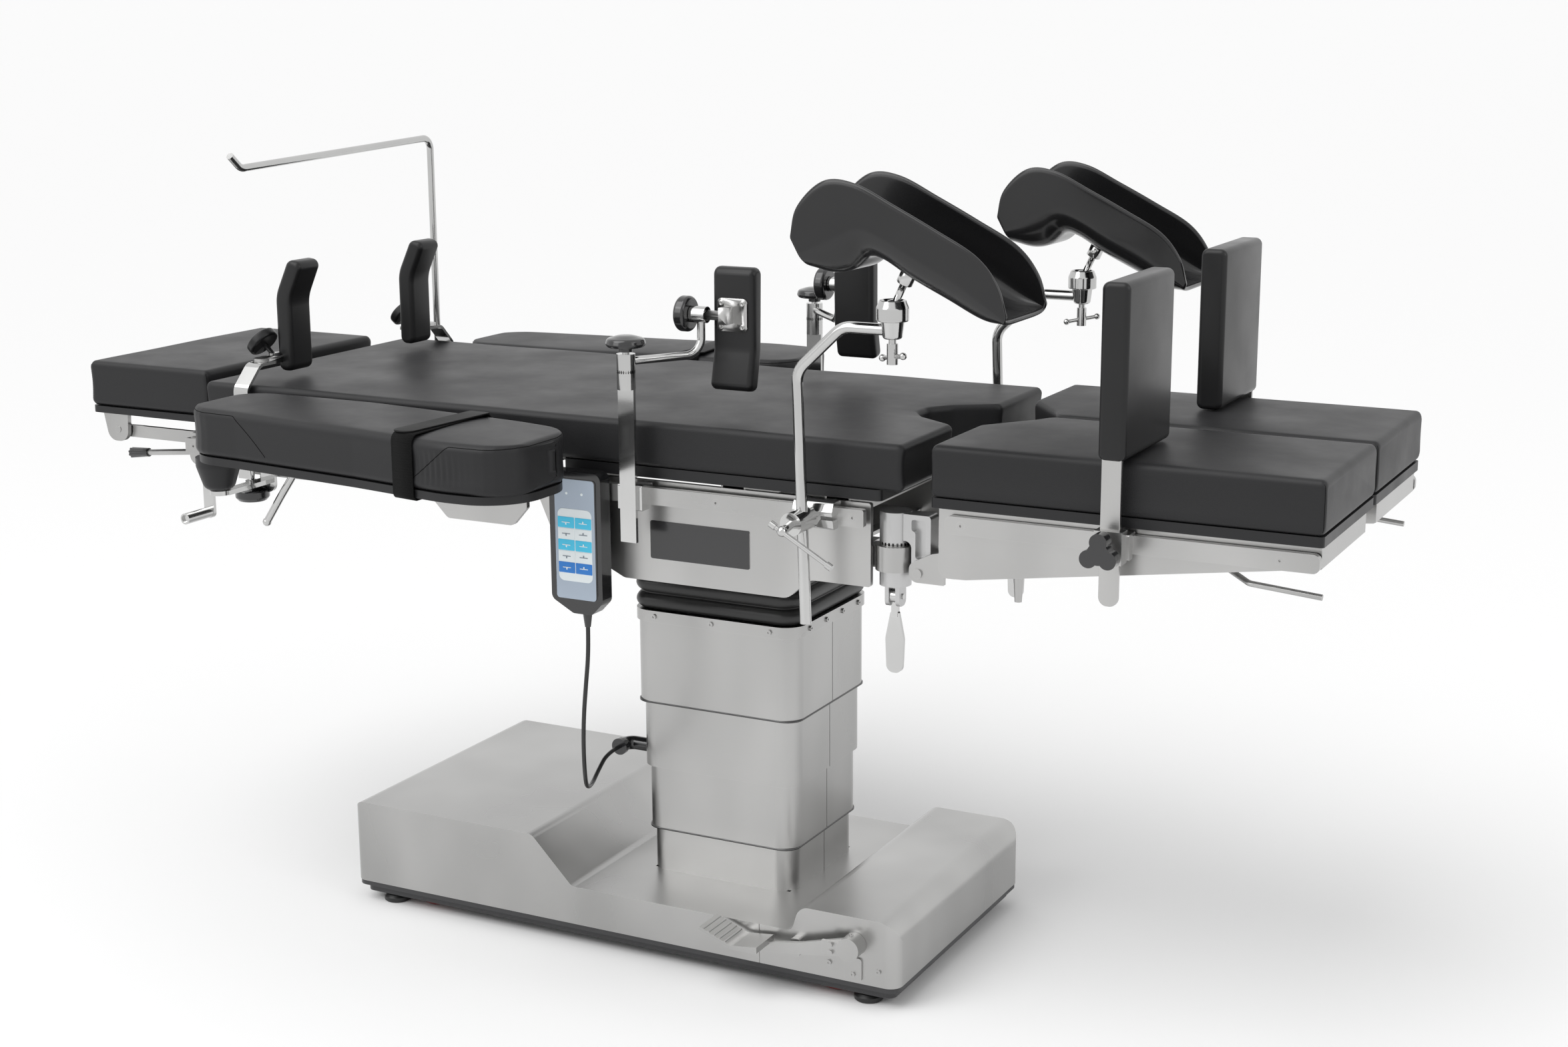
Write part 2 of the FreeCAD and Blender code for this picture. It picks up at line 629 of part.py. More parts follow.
def bellows():
    """Folded rubber sleeve between the column's top and the seat frame's pan."""
    low, high = BAND_Z, PAN_Z - SOFT_GAP
    pitch = (high - low) / BELLOWS_RIBS
    half_x = COVER_TOP_HALF_X + BAND_PROUD
    half_y = COVER_TOP_HALF_Y + BAND_PROUD
    rings = []
    for i in range(2 * BELLOWS_RIBS + 1):
        grow = BELLOWS_FLARE * i / (2 * BELLOWS_RIBS) + (BELLOWS_RIB_DEPTH if i % 2 else 0)
        ring = flat_wire(rectangle(COLUMN_X - half_x - grow, COLUMN_X + half_x + grow, -half_y - grow,
                                   half_y + grow, COVER_CORNER_R + grow))
        ring.translate(V(0, 0, low + pitch * i / 2))
        rings.append(ring)
    sleeve = Part.makeLoft(rings, True, True)
    in_x, in_y = half_x - 5, half_y - 5
    return sleeve.cut(prism(rectangle(COLUMN_X - in_x, COLUMN_X + in_x, -in_y, in_y, COVER_CORNER_R - 5),
                            "xy", low - 1, high + 1))


def tilt_cradle():
    """Cross-shaped block whose four trunnions let the seat tilt both ways."""
    pin = TRUNNION_R - RUNNING_CLEARANCE
    block = box(COLUMN_X - LUG_X + 4, COLUMN_X + LUG_X - 4, -YOKE_EAR_Y + 3, YOKE_EAR_Y - 3,
                PIVOT_Z - 18, PIVOT_Z + 18)
    block = block.makeFillet(6, [e for e in block.Edges if e.BoundBox.ZLength < 1e-6])
    reach_y = YOKE_EAR_Y + YOKE_EAR_THICKNESS + 1
    reach_x = LUG_X + LUG_THICKNESS + 4
    return union(block, rod((COLUMN_X, -reach_y, PIVOT_Z), (COLUMN_X, reach_y, PIVOT_Z), pin),
                 rod((COLUMN_X - reach_x, 0, PIVOT_Z), (COLUMN_X + reach_x, 0, PIVOT_Z), pin))


def seat_plate_outline():
    """Side view of a seat side plate: hinge nose, deep middle, stepped foot end."""
    top, deep, step = PLATE_TOP_Z, SEAT_PLATE_DEEP_Z, SEAT_PLATE_STEP_Z
    x = BACK_HINGE_X
    return [(x + 2, top, 4), (x - 11, BACK_HINGE_Z - 15, 9), (x + 14, deep + 58, 14), (COLUMN_X - 75, deep, 16),
            (COLUMN_X + 196, deep, 24), (COLUMN_X + 230, step, 24), (SEAT_PLATE_FOOT_X, step, 4),
            (SEAT_PLATE_FOOT_X, top, 4)]


def seat_side_plate():
    """One seat side plate with the round boss of the back hinge."""
    inner = SEAT_PLATE_OUT_Y - PLATE_THICKNESS
    plate = prism(seat_plate_outline(), "xz", inner, SEAT_PLATE_OUT_Y)
    boss = rod((BACK_HINGE_X, inner, BACK_HINGE_Z), (BACK_HINGE_X, SEAT_PLATE_OUT_Y + 4, BACK_HINGE_Z), 14)
    bore = rod((BACK_HINGE_X, 0, BACK_HINGE_Z), (BACK_HINGE_X, 300, BACK_HINGE_Z), HINGE_PIN_R)
    side_panel = prism(rectangle(COLUMN_X - 29, COLUMN_X + 135, SEAT_PLATE_DEEP_Z + 35, SEAT_PLATE_DEEP_Z + 92, 3),
                       "xz", SEAT_PLATE_OUT_Y, SEAT_PLATE_OUT_Y + 1)
    return union(plate, boss, side_panel).cut(bore)


def hinge_pin():
    """Back hinge pin with its socket head, pressed into the seat plate."""
    inner = SEAT_PLATE_OUT_Y - PLATE_THICKNESS
    end = inner - HINGE_EAR_THICKNESS - 6
    y_out = SEAT_PLATE_OUT_Y + 4
    shank = rod((BACK_HINGE_X, end, BACK_HINGE_Z), (BACK_HINGE_X, y_out, BACK_HINGE_Z), HINGE_PIN_R)
    head = socket_screw((BACK_HINGE_X, y_out, BACK_HINGE_Z), (0, 1, 0), HINGE_PIN_R - 1, 1.5)
    return union(shank, head)


def cross_tube(x0, x1, half_width, top, height, wall=3.0):
    """A rectangular tube lying across the table between two side plates."""
    outer = box(x0, x1, -half_width, half_width, top - height, top)
    return outer.cut(box(x0 + wall, x1 - wall, -half_width - 1, half_width + 1, top - height + wall, top - wall))


def tooth_ring(x, y, z, outer, inner):
    """A flat ring with radial teeth cut across its face."""
    ring = tube((x, y, z), (x, y, z + TOOTH_HEIGHT), outer, inner)
    width = math.pi * outer / TEETH
    slots = []
    for i in range(TEETH // 2):
        slot = box(-outer - 1, outer + 1, -width / 2, width / 2, z + 0.6, z + TOOTH_HEIGHT + 1)
        slot.rotate(V(0, 0, 0), V(0, 0, 1), i * 360 / TEETH)
        slot.translate(V(x, y, 0))
        slots.append(slot)
    return ring.cut(slots)


def tooth_ring_facing_down(x, y, top, outer, inner):
    """The mating tooth ring, with its teeth on the underside."""
    ring = tooth_ring(x, y, 0, outer, inner)
    ring = ring.mirror(V(0, 0, 0), V(0, 0, 1))
    ring.translate(V(0, 0, top))
    return ring


def leg_collar(side):
    """Bored collar on the seat frame that a leg's upright pin turns in."""
    y = side * LEG_PIVOT_Y
    inner = side * (SEAT_PLATE_OUT_Y - PLATE_THICKNESS)
    top = COLLAR_Z + COLLAR_HEIGHT
    low, high = sorted((y - side * 26, inner))
    block = box(SEAT_PLATE_FOOT_X - 60, SEAT_PLATE_FOOT_X - 8, low, high, COLLAR_Z, top)
    neck = box(SEAT_PLATE_FOOT_X - 8, LEG_PIVOT_X, y - 15, y + 15, COLLAR_Z + 3, top - 3)
    ring = rod((LEG_PIVOT_X, y, COLLAR_Z), (LEG_PIVOT_X, y, top), COLLAR_R)
    body = union(block, neck, ring, tooth_ring(LEG_PIVOT_X, y, top, LEG_POST_R, LEG_PIN_R + 1))
    return body.cut(rod((LEG_PIVOT_X, y, COLLAR_Z - 1), (LEG_PIVOT_X, y, top + 9), LEG_PIN_R))


def tilting_mount():
    """Thick plate under the seat's pan with the two lugs of the tilting joint."""
    low_z = PIVOT_Z + 44
    plate = box(COLUMN_X - 84, COLUMN_X + 84, -MOUNT_HALF_Y, MOUNT_HALF_Y, low_z, PAN_Z + 1)
    lugs = []
    for side in (-1, 1):
        low, high = sorted((COLUMN_X + side * LUG_X, COLUMN_X + side * (LUG_X + LUG_THICKNESS)))
        outline = [(-34, low_z, 0), (34, low_z, 0), (20, PIVOT_Z - 20, 19.5), (-20, PIVOT_Z - 20, 19.5)]
        bore = rod((low - 1, 0, PIVOT_Z), (high + 1, 0, PIVOT_Z), TRUNNION_R)
        lugs.append(prism(outline, "yz", low, high).cut(bore))
    return union(plate, *lugs)


def seat_pan(inner):
    """Pan between the side plates that closes the seat's underside above the bellows."""
    reach = COVER_TOP_HALF_X + BAND_PROUD + BELLOWS_FLARE + 8
    return prism(rectangle(COLUMN_X - reach, COLUMN_X + reach + 14, -inner, inner, 4), "xy",
                 PAN_Z, PAN_Z + PAN_THICKNESS)


def seat_frame():
    """Seat side plates, cross tubes, pan, tilting mount and leg collars."""
    inner = SEAT_PLATE_OUT_Y - PLATE_THICKNESS
    tubes = [cross_tube(x, x + 40, inner, BOARD_UNDER_Z, 30)
             for x in (BACK_HINGE_X + 55, COLUMN_X + 85, SEAT_PLATE_FOOT_X - 75)]
    return (both(seat_side_plate()) + both(hinge_pin()) + tubes + [union(seat_pan(inner), tilting_mount())]
            + [leg_collar(-1), leg_collar(1)])


def rail(x0, x1, z, plate_y, stations, end_radius):
    """One accessory rail on spacers, with its countersunk screws."""
    inner = RAIL_OUT_Y - RAIL_DEPTH
    half = RAIL_HEIGHT / 2
    bar = prism(rectangle(x0, x1, z - half, z + half, end_radius), "xz", inner, RAIL_OUT_Y)
    pieces = []
    for x in stations:
        sink = cone((x, RAIL_OUT_Y - 4, z), (x, RAIL_OUT_Y, z), RAIL_SCREW_R - 2.5, RAIL_SCREW_R)
        shank = rod((x, inner - 1, z), (x, RAIL_OUT_Y - 4, z), RAIL_SCREW_R - 2.5)
        bar = bar.cut([sink, shank])
        screw = union(sink, rod((x, plate_y, z), (x, RAIL_OUT_Y - 4, z), RAIL_SCREW_R - 2.5))
        screw = screw.cut(Part.makeCylinder(1.8, 3, V(x, RAIL_OUT_Y - 2.5, z), V(0, 1, 0)))
        spacer = tube((x, plate_y, z), (x, inner, z), RAIL_SPACER_R, RAIL_SCREW_R - 2.5)
        pieces += [screw, spacer]
    return [bar] + pieces


def seat_rails():
    """Rails along both sides of the seat."""
    one = rail(BACK_HINGE_X + 30, SEAT_PLATE_FOOT_X - 3, RAIL_Z, SEAT_PLATE_OUT_Y,
               (BACK_HINGE_X + 62, COLUMN_X + 90, SEAT_PLATE_FOOT_X - 20), RAIL_END_CHAMFER)
    return one + [mirrored(p) for p in one]


def back_rails():
    """Rails along both sides of the back."""
    one = rail(BACK_HEAD_X, BACK_HINGE_X - 40, RAIL_Z, BACK_PLATE_OUT_Y,
               (BACK_HEAD_X + 16, BACK_HINGE_X - 330, BACK_HINGE_X - 60), RAIL_END_CHAMFER)
    return one + [mirrored(p) for p in one]


def cutout_outline(mouth_x, mouth_half, floor_half, depth):
    """Points of the opening in the seat's foot end, from one side to the other."""
    return [(mouth_x, -mouth_half, 10), (mouth_x - depth * 0.72, -floor_half - 18, 30),
            (mouth_x - depth, -floor_half + 14, 26), (mouth_x - depth, floor_half - 14, 26),
            (mouth_x - depth * 0.72, floor_half + 18, 30), (mouth_x, mouth_half, 10)]


def seat_board():
    """Black board under the seat pad, with its own opening at the foot end."""
    x = SEAT_PAD_FOOT_X - 35
    half = PAD_HALF_WIDTH - 4
    outline = [(BACK_HINGE_X + 41, -half, 6), (x, -half, 8)]
    outline += cutout_outline(x, CUTOUT_MOUTH_HALF - 6, CUTOUT_FLOOR_HALF + 4, CUTOUT_DEPTH - 27)
    outline += [(x, half, 8), (BACK_HINGE_X + 41, half, 6)]
    return prism(outline, "xy", BOARD_UNDER_Z, BOARD_UNDER_Z + BOARD_THICKNESS)


def seat_pad():
    """Seat cushion with the opening between the thighs."""
    x = SEAT_PAD_FOOT_X
    half = PAD_HALF_WIDTH
    start = BACK_HINGE_X + FOLD_HALF_LENGTH
    outline = [(start, -half, 0), (x, -half, 4)]
    outline += cutout_outline(x, CUTOUT_MOUTH_HALF, CUTOUT_FLOOR_HALF, CUTOUT_DEPTH)
    outline += [(x, half, 4), (start, half, 0)]
    low = BOARD_UNDER_Z + BOARD_THICKNESS + SOFT_GAP
    return prism(outline, "xy", low, low + PAD_THICKNESS)


def pad_fold():
    """The stretch of the main pad that bends over the back hinge."""
    low = BOARD_UNDER_Z + BOARD_THICKNESS + SOFT_GAP
    return box(BACK_HINGE_X - FOLD_HALF_LENGTH + SOFT_GAP, BACK_HINGE_X + FOLD_HALF_LENGTH - SOFT_GAP,
               -PAD_HALF_WIDTH, PAD_HALF_WIDTH, low, low + PAD_THICKNESS)


def back_pad():
    """Back cushion."""
    low = BOARD_UNDER_Z + BOARD_THICKNESS + SOFT_GAP
    end = BACK_HINGE_X - FOLD_HALF_LENGTH
    half = PAD_HALF_WIDTH
    outline = [(BACK_PAD_HEAD_X, -half, 6), (end, -half, 0), (end, half, 0), (BACK_PAD_HEAD_X, half, 6)]
    return prism(outline, "xy", low, low + PAD_THICKNESS)


def back_board():
    """Black board under the back pad."""
    half = PAD_HALF_WIDTH - 4
    return prism(rectangle(BACK_PAD_HEAD_X - 12, BACK_HINGE_X - 43, -half, half, 6), "xy",
                 BOARD_UNDER_Z, BOARD_UNDER_Z + BOARD_THICKNESS)


def back_side_plate():
    """One back side plate: shallow along the back, deep near the hinge."""
    x, top = BACK_HINGE_X, PLATE_TOP_Z
    outline = [(x - 27, top, 3), (x - 27, top - 62, 6), (x - 53, top - 91, 12), (x - 172, top - 91, 12),
               (x - 206, top - 57, 12), (BACK_HEAD_X + 6, top - 57, 12), (BACK_HEAD_X, top, 4)]
    return prism(outline, "xz", BACK_PLATE_OUT_Y - PLATE_THICKNESS, BACK_PLATE_OUT_Y)


def hinge_ear():
    """Bar of the back frame that reaches to the hinge, inside the seat plate."""
    high = SEAT_PLATE_OUT_Y - PLATE_THICKNESS - 1
    low = high - HINGE_EAR_THICKNESS
    x, z = BACK_HINGE_X, BACK_HINGE_Z
    outline = [(x + 15, z - 15, 14.5), (x + 15, z + 15, 14.5), (x - 110, z + 15, 0), (x - 110, z - 15, 0)]
    bore = rod((x, low - 1, z), (x, high + 1, z), HINGE_PIN_R + RUNNING_CLEARANCE)
    return prism(outline, "xz", low, high).cut(bore)


def head_bracket():
    """Ear on the back frame that a head link hinges on."""
    low = LINK_Y + LINK_THICKNESS / 2 + HEAD_EAR_GAP
    x, z = HEAD_BACK_PIVOT_X, HEAD_BACK_PIVOT_Z
    outline = [(x + 60, BOARD_UNDER_Z - 6, 0), (x + 26, BOARD_UNDER_Z - 6, 10), (x - 17, z + 20, 12),
               (x - 17, z - 17, 16), (x + 17, z - 17, 16), (x + 34, z + 14, 10), (x + 60, z + 14, 0)]
    bore = rod((x, 0, z), (x, 300, z), HEAD_PIN_R)
    return prism(outline, "xz", low, low + HEAD_EAR_THICKNESS).cut(bore)


def crank_bearing():
    """Small bearing plate under the back frame that the crank's shaft turns in."""
    outline = [(CRANK_X - 12, CRANK_Z - 12, 11), (CRANK_X + 12, CRANK_Z - 12, 11),
               (CRANK_X + 24, BOARD_UNDER_Z - 12, 0), (CRANK_X, BOARD_UNDER_Z - 12, 0)]
    bore = rod((CRANK_X, -260, CRANK_Z), (CRANK_X, -200, CRANK_Z), 6 + RUNNING_CLEARANCE)
    return prism(outline, "xz", -236, -228).cut(bore)


def back_frame():
    """Back side plates, cross tubes, hinge ears, head brackets and crank bearing."""
    inner = BACK_PLATE_OUT_Y - PLATE_THICKNESS
    head_tube = cross_tube(BACK_PAD_HEAD_X - 13, BACK_PAD_HEAD_X + 27, inner, BOARD_UNDER_Z, 30)
    middle_tube = cross_tube(BACK_HINGE_X - 355, BACK_HINGE_X - 315, inner, BOARD_UNDER_Z, 30)
    hinge_tube = cross_tube(BACK_HINGE_X - 115, BACK_HINGE_X - 75, inner, BOARD_UNDER_Z, 30)
    head_part = union(head_tube, head_bracket(), mirrored(head_bracket()), crank_bearing())
    hinge_part = union(hinge_tube, hinge_ear(), mirrored(hinge_ear()))
    return both(back_side_plate()) + [head_part, middle_tube, hinge_part]


def head_link():
    """Two link bars with their pins, from the back frame to the head plate."""
    low, high = LINK_Y - LINK_THICKNESS / 2, LINK_Y + LINK_THICKNESS / 2
    bx, bz = HEAD_BACK_PIVOT_X, HEAD_BACK_PIVOT_Z
    hx, hz = HEAD_PLATE_PIVOT_X, HEAD_PLATE_PIVOT_Z
    top = hz + 7
    bar = prism(rectangle(hx, bx + 17, top - LINK_HEIGHT, top, 5), "xz", low, high)
    drop = prism(rectangle(bx - 17, bx + 17, bz, top, 0), "xz", low, high)
    hubs = [rod((x, low, z), (x, high, z), r) for x, z, r in ((hx, hz, 15), (bx, bz, 17))]
    bar = union(bar, drop, *hubs)
    far = high + HEAD_EAR_GAP + HEAD_EAR_THICKNESS + 1
    pins = [rod((x, low - 3, z), (x, far, z), HEAD_PIN_R - RUNNING_CLEARANCE) for x, z in ((bx, bz), (hx, hz))]
    cross = box(hx + 110, hx + 130, -low, low, top - LINK_HEIGHT + 1, top - 11)
    side = union(bar, *pins)
    return union(side, mirrored(side), cross)


def head_ears():
    """Hinge ears under the head board."""
    low = LINK_Y + LINK_THICKNESS / 2 + HEAD_EAR_GAP
    x, z = HEAD_PLATE_PIVOT_X, HEAD_PLATE_PIVOT_Z
    top = HEAD_BOARD_UNDER_Z
    outline = [(x - 30, top, 0), (x + 23, top, 0), (x + 20, z - 20, 19), (x - 20, z - 20, 19)]
    bore = rod((x, 0, z), (x, 300, z), HEAD_PIN_R)
    ear = prism(outline, "xz", low, low + HEAD_EAR_THICKNESS).cut(bore)
    return both(ear)


def head_board():
    """Black head board with the shallow box below it."""
    board = prism(rectangle(HEAD_END_X, HEAD_PAD_REAR_X - 8, -HEAD_HALF_WIDTH, HEAD_HALF_WIDTH, 12), "xy",
                  HEAD_BOARD_UNDER_Z, HEAD_BOARD_UNDER_Z + HEAD_BOARD_THICKNESS)
    tray = box(HEAD_END_X + 42, HEAD_PAD_REAR_X - 12, -150, 150, HEAD_BOARD_UNDER_Z - 17, HEAD_BOARD_UNDER_Z)
    tray = tray.makeFillet(6, [e for e in tray.Edges if e.BoundBox.ZLength > 10])
    return union(board, tray)


def head_pad():
    """Head cushion."""
    low = HEAD_BOARD_UNDER_Z + HEAD_BOARD_THICKNESS + SOFT_GAP
    return rounded_pad(rectangle(HEAD_END_X, HEAD_PAD_REAR_X, -HEAD_HALF_WIDTH, HEAD_HALF_WIDTH, 8),
                       low, low + HEAD_PAD_THICKNESS, PAD_EDGE_RADIUS)


def head_lever():
    """Release lever of the head section: thin rod with a fluted knob."""
    x, z = HEAD_BACK_PIVOT_X - 22, HEAD_BACK_PIVOT_Z - 4
    y = -LINK_Y + LINK_THICKNESS / 2 + 22
    tip_x, tip_z = HEAD_PLATE_PIVOT_X - 11, HEAD_PLATE_PIVOT_Z - 48
    slope = (tip_z - z) / (tip_x - x)
    grip_x = tip_x + 38
    shaft = rod((x, y, z), (grip_x, y, z + slope * (grip_x - x)), 5)
    grip = cone((grip_x, y, z + slope * (grip_x - x)), (tip_x, y, tip_z), 7.5, 9)
    flutes = []
    for i in range(8):
        angle = math.radians(45 * i)
        dy, dz = 10.5 * math.cos(angle), 10.5 * math.sin(angle)
        flutes.append(rod((grip_x + 2, y + dy, z + slope * (grip_x - x) + dz), (tip_x - 2, y + dy, tip_z + dz), 3))
    hub = rod((x, -LINK_Y + LINK_THICKNESS / 2 + SOFT_GAP, z), (x, y + 6, z), 9)
    return union(hub, shaft, grip.cut(flutes))


def head_crank():
    """Hanging crank: shaft, flat arm and tubular handle."""
    x, z = CRANK_X, CRANK_Z
    end_z = z - CRANK_LENGTH
    arm = prism([(x - 10, end_z - 10, 9.5), (x + 10, end_z - 10, 9.5), (x + 10, z + 10, 9.5), (x - 10, z + 10, 9.5)],
                "xz", -248, -242)
    shaft = rod((x, -248, z), (x, -222, z), 6)
    grip = tube((x, -248, end_z), (x, -306, end_z), 9, 6.5)
    stud = rod((x, -302, end_z), (x, -242, end_z), 6.5)
    return union(arm, shaft, grip, stud)


def leg_yoke(side):
    """Upright pin, toothed post, ribbed arm and down-leg that carry one leg section."""
    x, y = LEG_PIVOT_X, side * LEG_PIVOT_Y
    pin_r = LEG_PIN_R - RUNNING_CLEARANCE
    tooth_top = LEG_POST_UNDER_Z
    post = rod((x, y, tooth_top), (x, y, LEG_POST_TOP_Z), LEG_POST_R)
    lower = rod((x, y, COLLAR_Z - 22), (x, y, COLLAR_Z - TOOTH_GAP), LEG_POST_R)
    pin = rod((x, y, COLLAR_Z - 10), (x, y, tooth_top + 5), pin_r)
    teeth = tooth_ring_facing_down(x, y, tooth_top, LEG_POST_R, LEG_PIN_R + 1)
    fork_z = COLLAR_Z - 53
    fork = box(x - 11, x + 11, y - 12, y + 12, fork_z, COLLAR_Z - 21)
    fork = fork.makeFillet(9, [e for e in fork.Edges if e.BoundBox.XLength > 20 and e.BoundBox.ZMax < fork_z + 1])
    slot = box(x - 5, x + 5, y - 13, y + 13, fork_z - 1, COLLAR_Z - 24)
    fork = fork.cut([slot, rod((x - 12, y, fork_z + 14), (x + 12, y, fork_z + 14), 4)])
    end_x = FOLD_PIN_X + 15
    foot_x = FOLD_PIN_X - 14
    outline = [(x, LEG_POST_TOP_Z - 1, 0), (end_x, LEG_POST_TOP_Z - 1, 5), (end_x, FOLD_PIN_Z - 13, 12),
               (foot_x, FOLD_PIN_Z - 13, 12), (foot_x, LEG_POST_UNDER_Z + 3, 10), (x, LEG_POST_UNDER_Z + 3, 0)]
    half = YOKE_WIDTH / 2
    arm = prism(outline, "xz", y - half, y + half)
    pocket_outline = [(x + 30, LEG_POST_TOP_Z - 8, 3), (end_x - 7, LEG_POST_TOP_Z - 8, 3),
                      (end_x - 7, FOLD_PIN_Z + 18, 3), (foot_x + 6, FOLD_PIN_Z + 18, 3),
                      (foot_x + 6, LEG_POST_UNDER_Z + 18, 5), (x + 30, LEG_POST_UNDER_Z + 18, 3)]
    pockets = [prism(pocket_outline, "xz", y - half - 1, y - 4), prism(pocket_outline, "xz", y + 4, y + half + 1)]
    fold_bore = rod((FOLD_PIN_X, y - half - 1, FOLD_PIN_Z), (FOLD_PIN_X, y + half + 1, FOLD_PIN_Z),
                    FOLD_PIN_R + RUNNING_CLEARANCE)
    return union(post, lower, pin, teeth, fork, arm.cut(pockets)).cut(fold_bore)


def leg_clamp_lever(side):
    """Flat spatula lever hanging from the fork below a leg's upright pin."""
    x, y, z = LEG_PIVOT_X, side * LEG_PIVOT_Y, COLLAR_Z - 39
    hub = rod((x - 4.7, y, z), (x + 4.7, y, z), 10)
    pin = rod((x - 13, y, z), (x + 13, y, z), 4 - RUNNING_CLEARANCE)
    neck = box(x - 4.7, x + 4.7, y - 4, y + 4, z - 30, z)
    low = z - 112
    blade = prism([(x - 12, low, 11), (x + 12, low, 11), (x + 14, low + 50, 30), (x + 6, z - 22, 5),
                   (x - 6, z - 22, 5), (x - 14, low + 50, 30)], "xz", y - 3, y + 3)
    return union(hub, pin, neck, blade)


def leg_board(side):
    """Black board under one leg pad."""
    low, high = sorted((side * LEG_PAD_IN_Y, side * (LEG_PAD_OUT_Y - 3)))
    return prism(rectangle(LEG_PAD_HEAD_X - 1, LEG_END_X - 1, low, high, 6), "xy",
                 BOARD_UNDER_Z + 2, BOARD_UNDER_Z + BOARD_THICKNESS)


def leg_pad(side):
    """One leg cushion; its inner corner by the seat is cut off."""
    x0, x1 = LEG_PAD_HEAD_X, LEG_END_X
    outline = [(x0, LEG_PAD_OUT_Y, 5), (x0, 112, 12), (x0 + 62, LEG_PAD_IN_Y + 28, 14), (x0 + 76, LEG_PAD_IN_Y, 12),
               (x1, LEG_PAD_IN_Y, 6), (x1, LEG_PAD_OUT_Y, 6)]
    low = BOARD_UNDER_Z + BOARD_THICKNESS + SOFT_GAP
    pad = rounded_pad(outline, low, low + LEG_PAD_THICKNESS, PAD_EDGE_RADIUS)
    return mirrored(pad) if side < 0 else pad


def leg_side_outline():
    """Tapering side view of the leg frame."""
    x0, x1 = LEG_PAD_HEAD_X + 8, LEG_END_X - 5
    top = BOARD_UNDER_Z + 2
    return [(x0, top, 0), (x0, FOLD_PIN_Z, 14), (x0 + 40, FOLD_PIN_Z + 1, 60), (x1 - 30, top - 34, 60),
            (x1, top - 31, 4), (x1, top, 0)]


def leg_ears(y):
    """The two ears of a leg frame that ride on the fold pin, and the pin."""
    half = YOKE_WIDTH / 2
    x, z = FOLD_PIN_X, FOLD_PIN_Z
    end = LEG_PAD_HEAD_X + 12
    outline = [(x - 13, z - 13, 12.5), (end, z - 13, 0), (end, z + 34, 0), (x + 22, z + 30, 8), (x - 13, z + 13, 12.5)]
    ears = []
    for near in (y - half - 10, y + half + 2):
        ears.append(prism(outline, "xz", near, near + 8))
    pin = rod((x, y - half - 13, z), (x, y + half + 13, z), FOLD_PIN_R)
    return ears, pin


def side_clamp():
    """Clamp on a leg rail: block with a slanted face, and its three-lobed knob."""
    x, z = SIDE_BAR_X, LEG_RAIL_Z
    half = RAIL_HEIGHT / 2
    y0 = RAIL_OUT_Y
    profile = [(y0, z - half - 6, 2), (y0 + 13, z - half - 6, 2), (y0 + 17, z + half + 4, 3), (y0 - 9, z + half + 4, 2),
               (y0 - 9, z + half + 0.4, 0), (y0, z + half + 0.4, 0)]
    block = prism(profile, "yz", x - 23.5, x + 23.5)
    guide = box(x - 19, x + 19, y0 + 10, y0 + 32, z - 22, z + 22)
    way = box(x - 14, x + 14, SIDE_BAR_Y - 3.3, SIDE_BAR_Y + 3.3, z - 40, z + 40)
    stud = rod((x, y0 + 32, z), (x, y0 + 52, z), 6)
    lobes = [rod((x, y0 + 52, z), (x, y0 + 70, z), 15)]
    for i in range(3):
        angle = math.radians(90 + 120 * i)
        cx, cz = x + 15 * math.cos(angle), z + 15 * math.sin(angle)
        lobes.append(rod((cx, y0 + 52, cz), (cx, y0 + 70, cz), 12))
    return union(block, guide).cut(way), union(stud, *lobes)


def leg_frame(side):
    """Tapered side plates, end face, ears, rail and release lever of one leg section."""
    x0, x1 = LEG_PAD_HEAD_X + 8, LEG_END_X - 5
    top = BOARD_UNDER_Z + 2
    wall = LEG_PLATE_THICKNESS
    out, near = LEG_PLATE_OUT_Y, 30.0
    outer = prism(leg_side_outline(), "xz", out - wall, out)
    inner = prism(leg_side_outline(), "xz", near, near + wall)
    head = box(x0, x0 + wall, near, out, FOLD_PIN_Z + 14, top)
    foot = box(x1 - wall, x1, near, out, top - 30, top)
    deck = box(x0 + 1, x1 - 1, near + wall, out - wall, top - 4, top)
    ears, pin = leg_ears(LEG_PIVOT_Y)
    bracket = box(x1 - 60, x1 - 20, LEG_PAD_IN_Y + 6, near, top - 18, top - 6)
    shell = union(outer, inner, head, foot, deck, bracket, *ears)
    stub = cone((x0 + 112, out - 14, top - 60), (x0 + 112, out - 14, top - 124), 9, 5)
    hanger = box(x0 + 100, x0 + 124, out - 24, out - wall, top - 62, top - 4)
    lever = bent_rod([(x1 - 140, out - 70, top - 60), (x1 - 100, out - 30, top - 66), (x1 - 4, out - 30, top - 74)], 4, 12)
    lever_post = rod((x1 - 138, out - 68, top - 62), (x1 - 138, out - 68, top - 4), 5)
    clamp, knob = side_clamp()
    pieces = [union(shell, hanger, stub), pin, union(lever, lever_post), clamp, knob]
    pieces += rail(x0 + 14, x1 + 1, LEG_RAIL_Z, LEG_PLATE_OUT_Y, (x0 + 37, x1 - 50), 9)
    return [mirrored(p) for p in pieces] if side < 0 else pieces


def arm_outline(inset):
    """Plan of the arm board: narrow at the shoulder, wide and set outwards at the hand."""
    i = inset
    return [(-654 + i, 284 + i, 60), (-400, 283 + i, 400), (-120, 316 + i, 260), (-12 - i, 338 + i, 66),
            (-14 - i, 508 - i, 80), (-130, 512 - i, 200), (-300, 484 - i, 200), (-540, 455 - i, 200),
            (-654 + i, 446 - i, 66)]


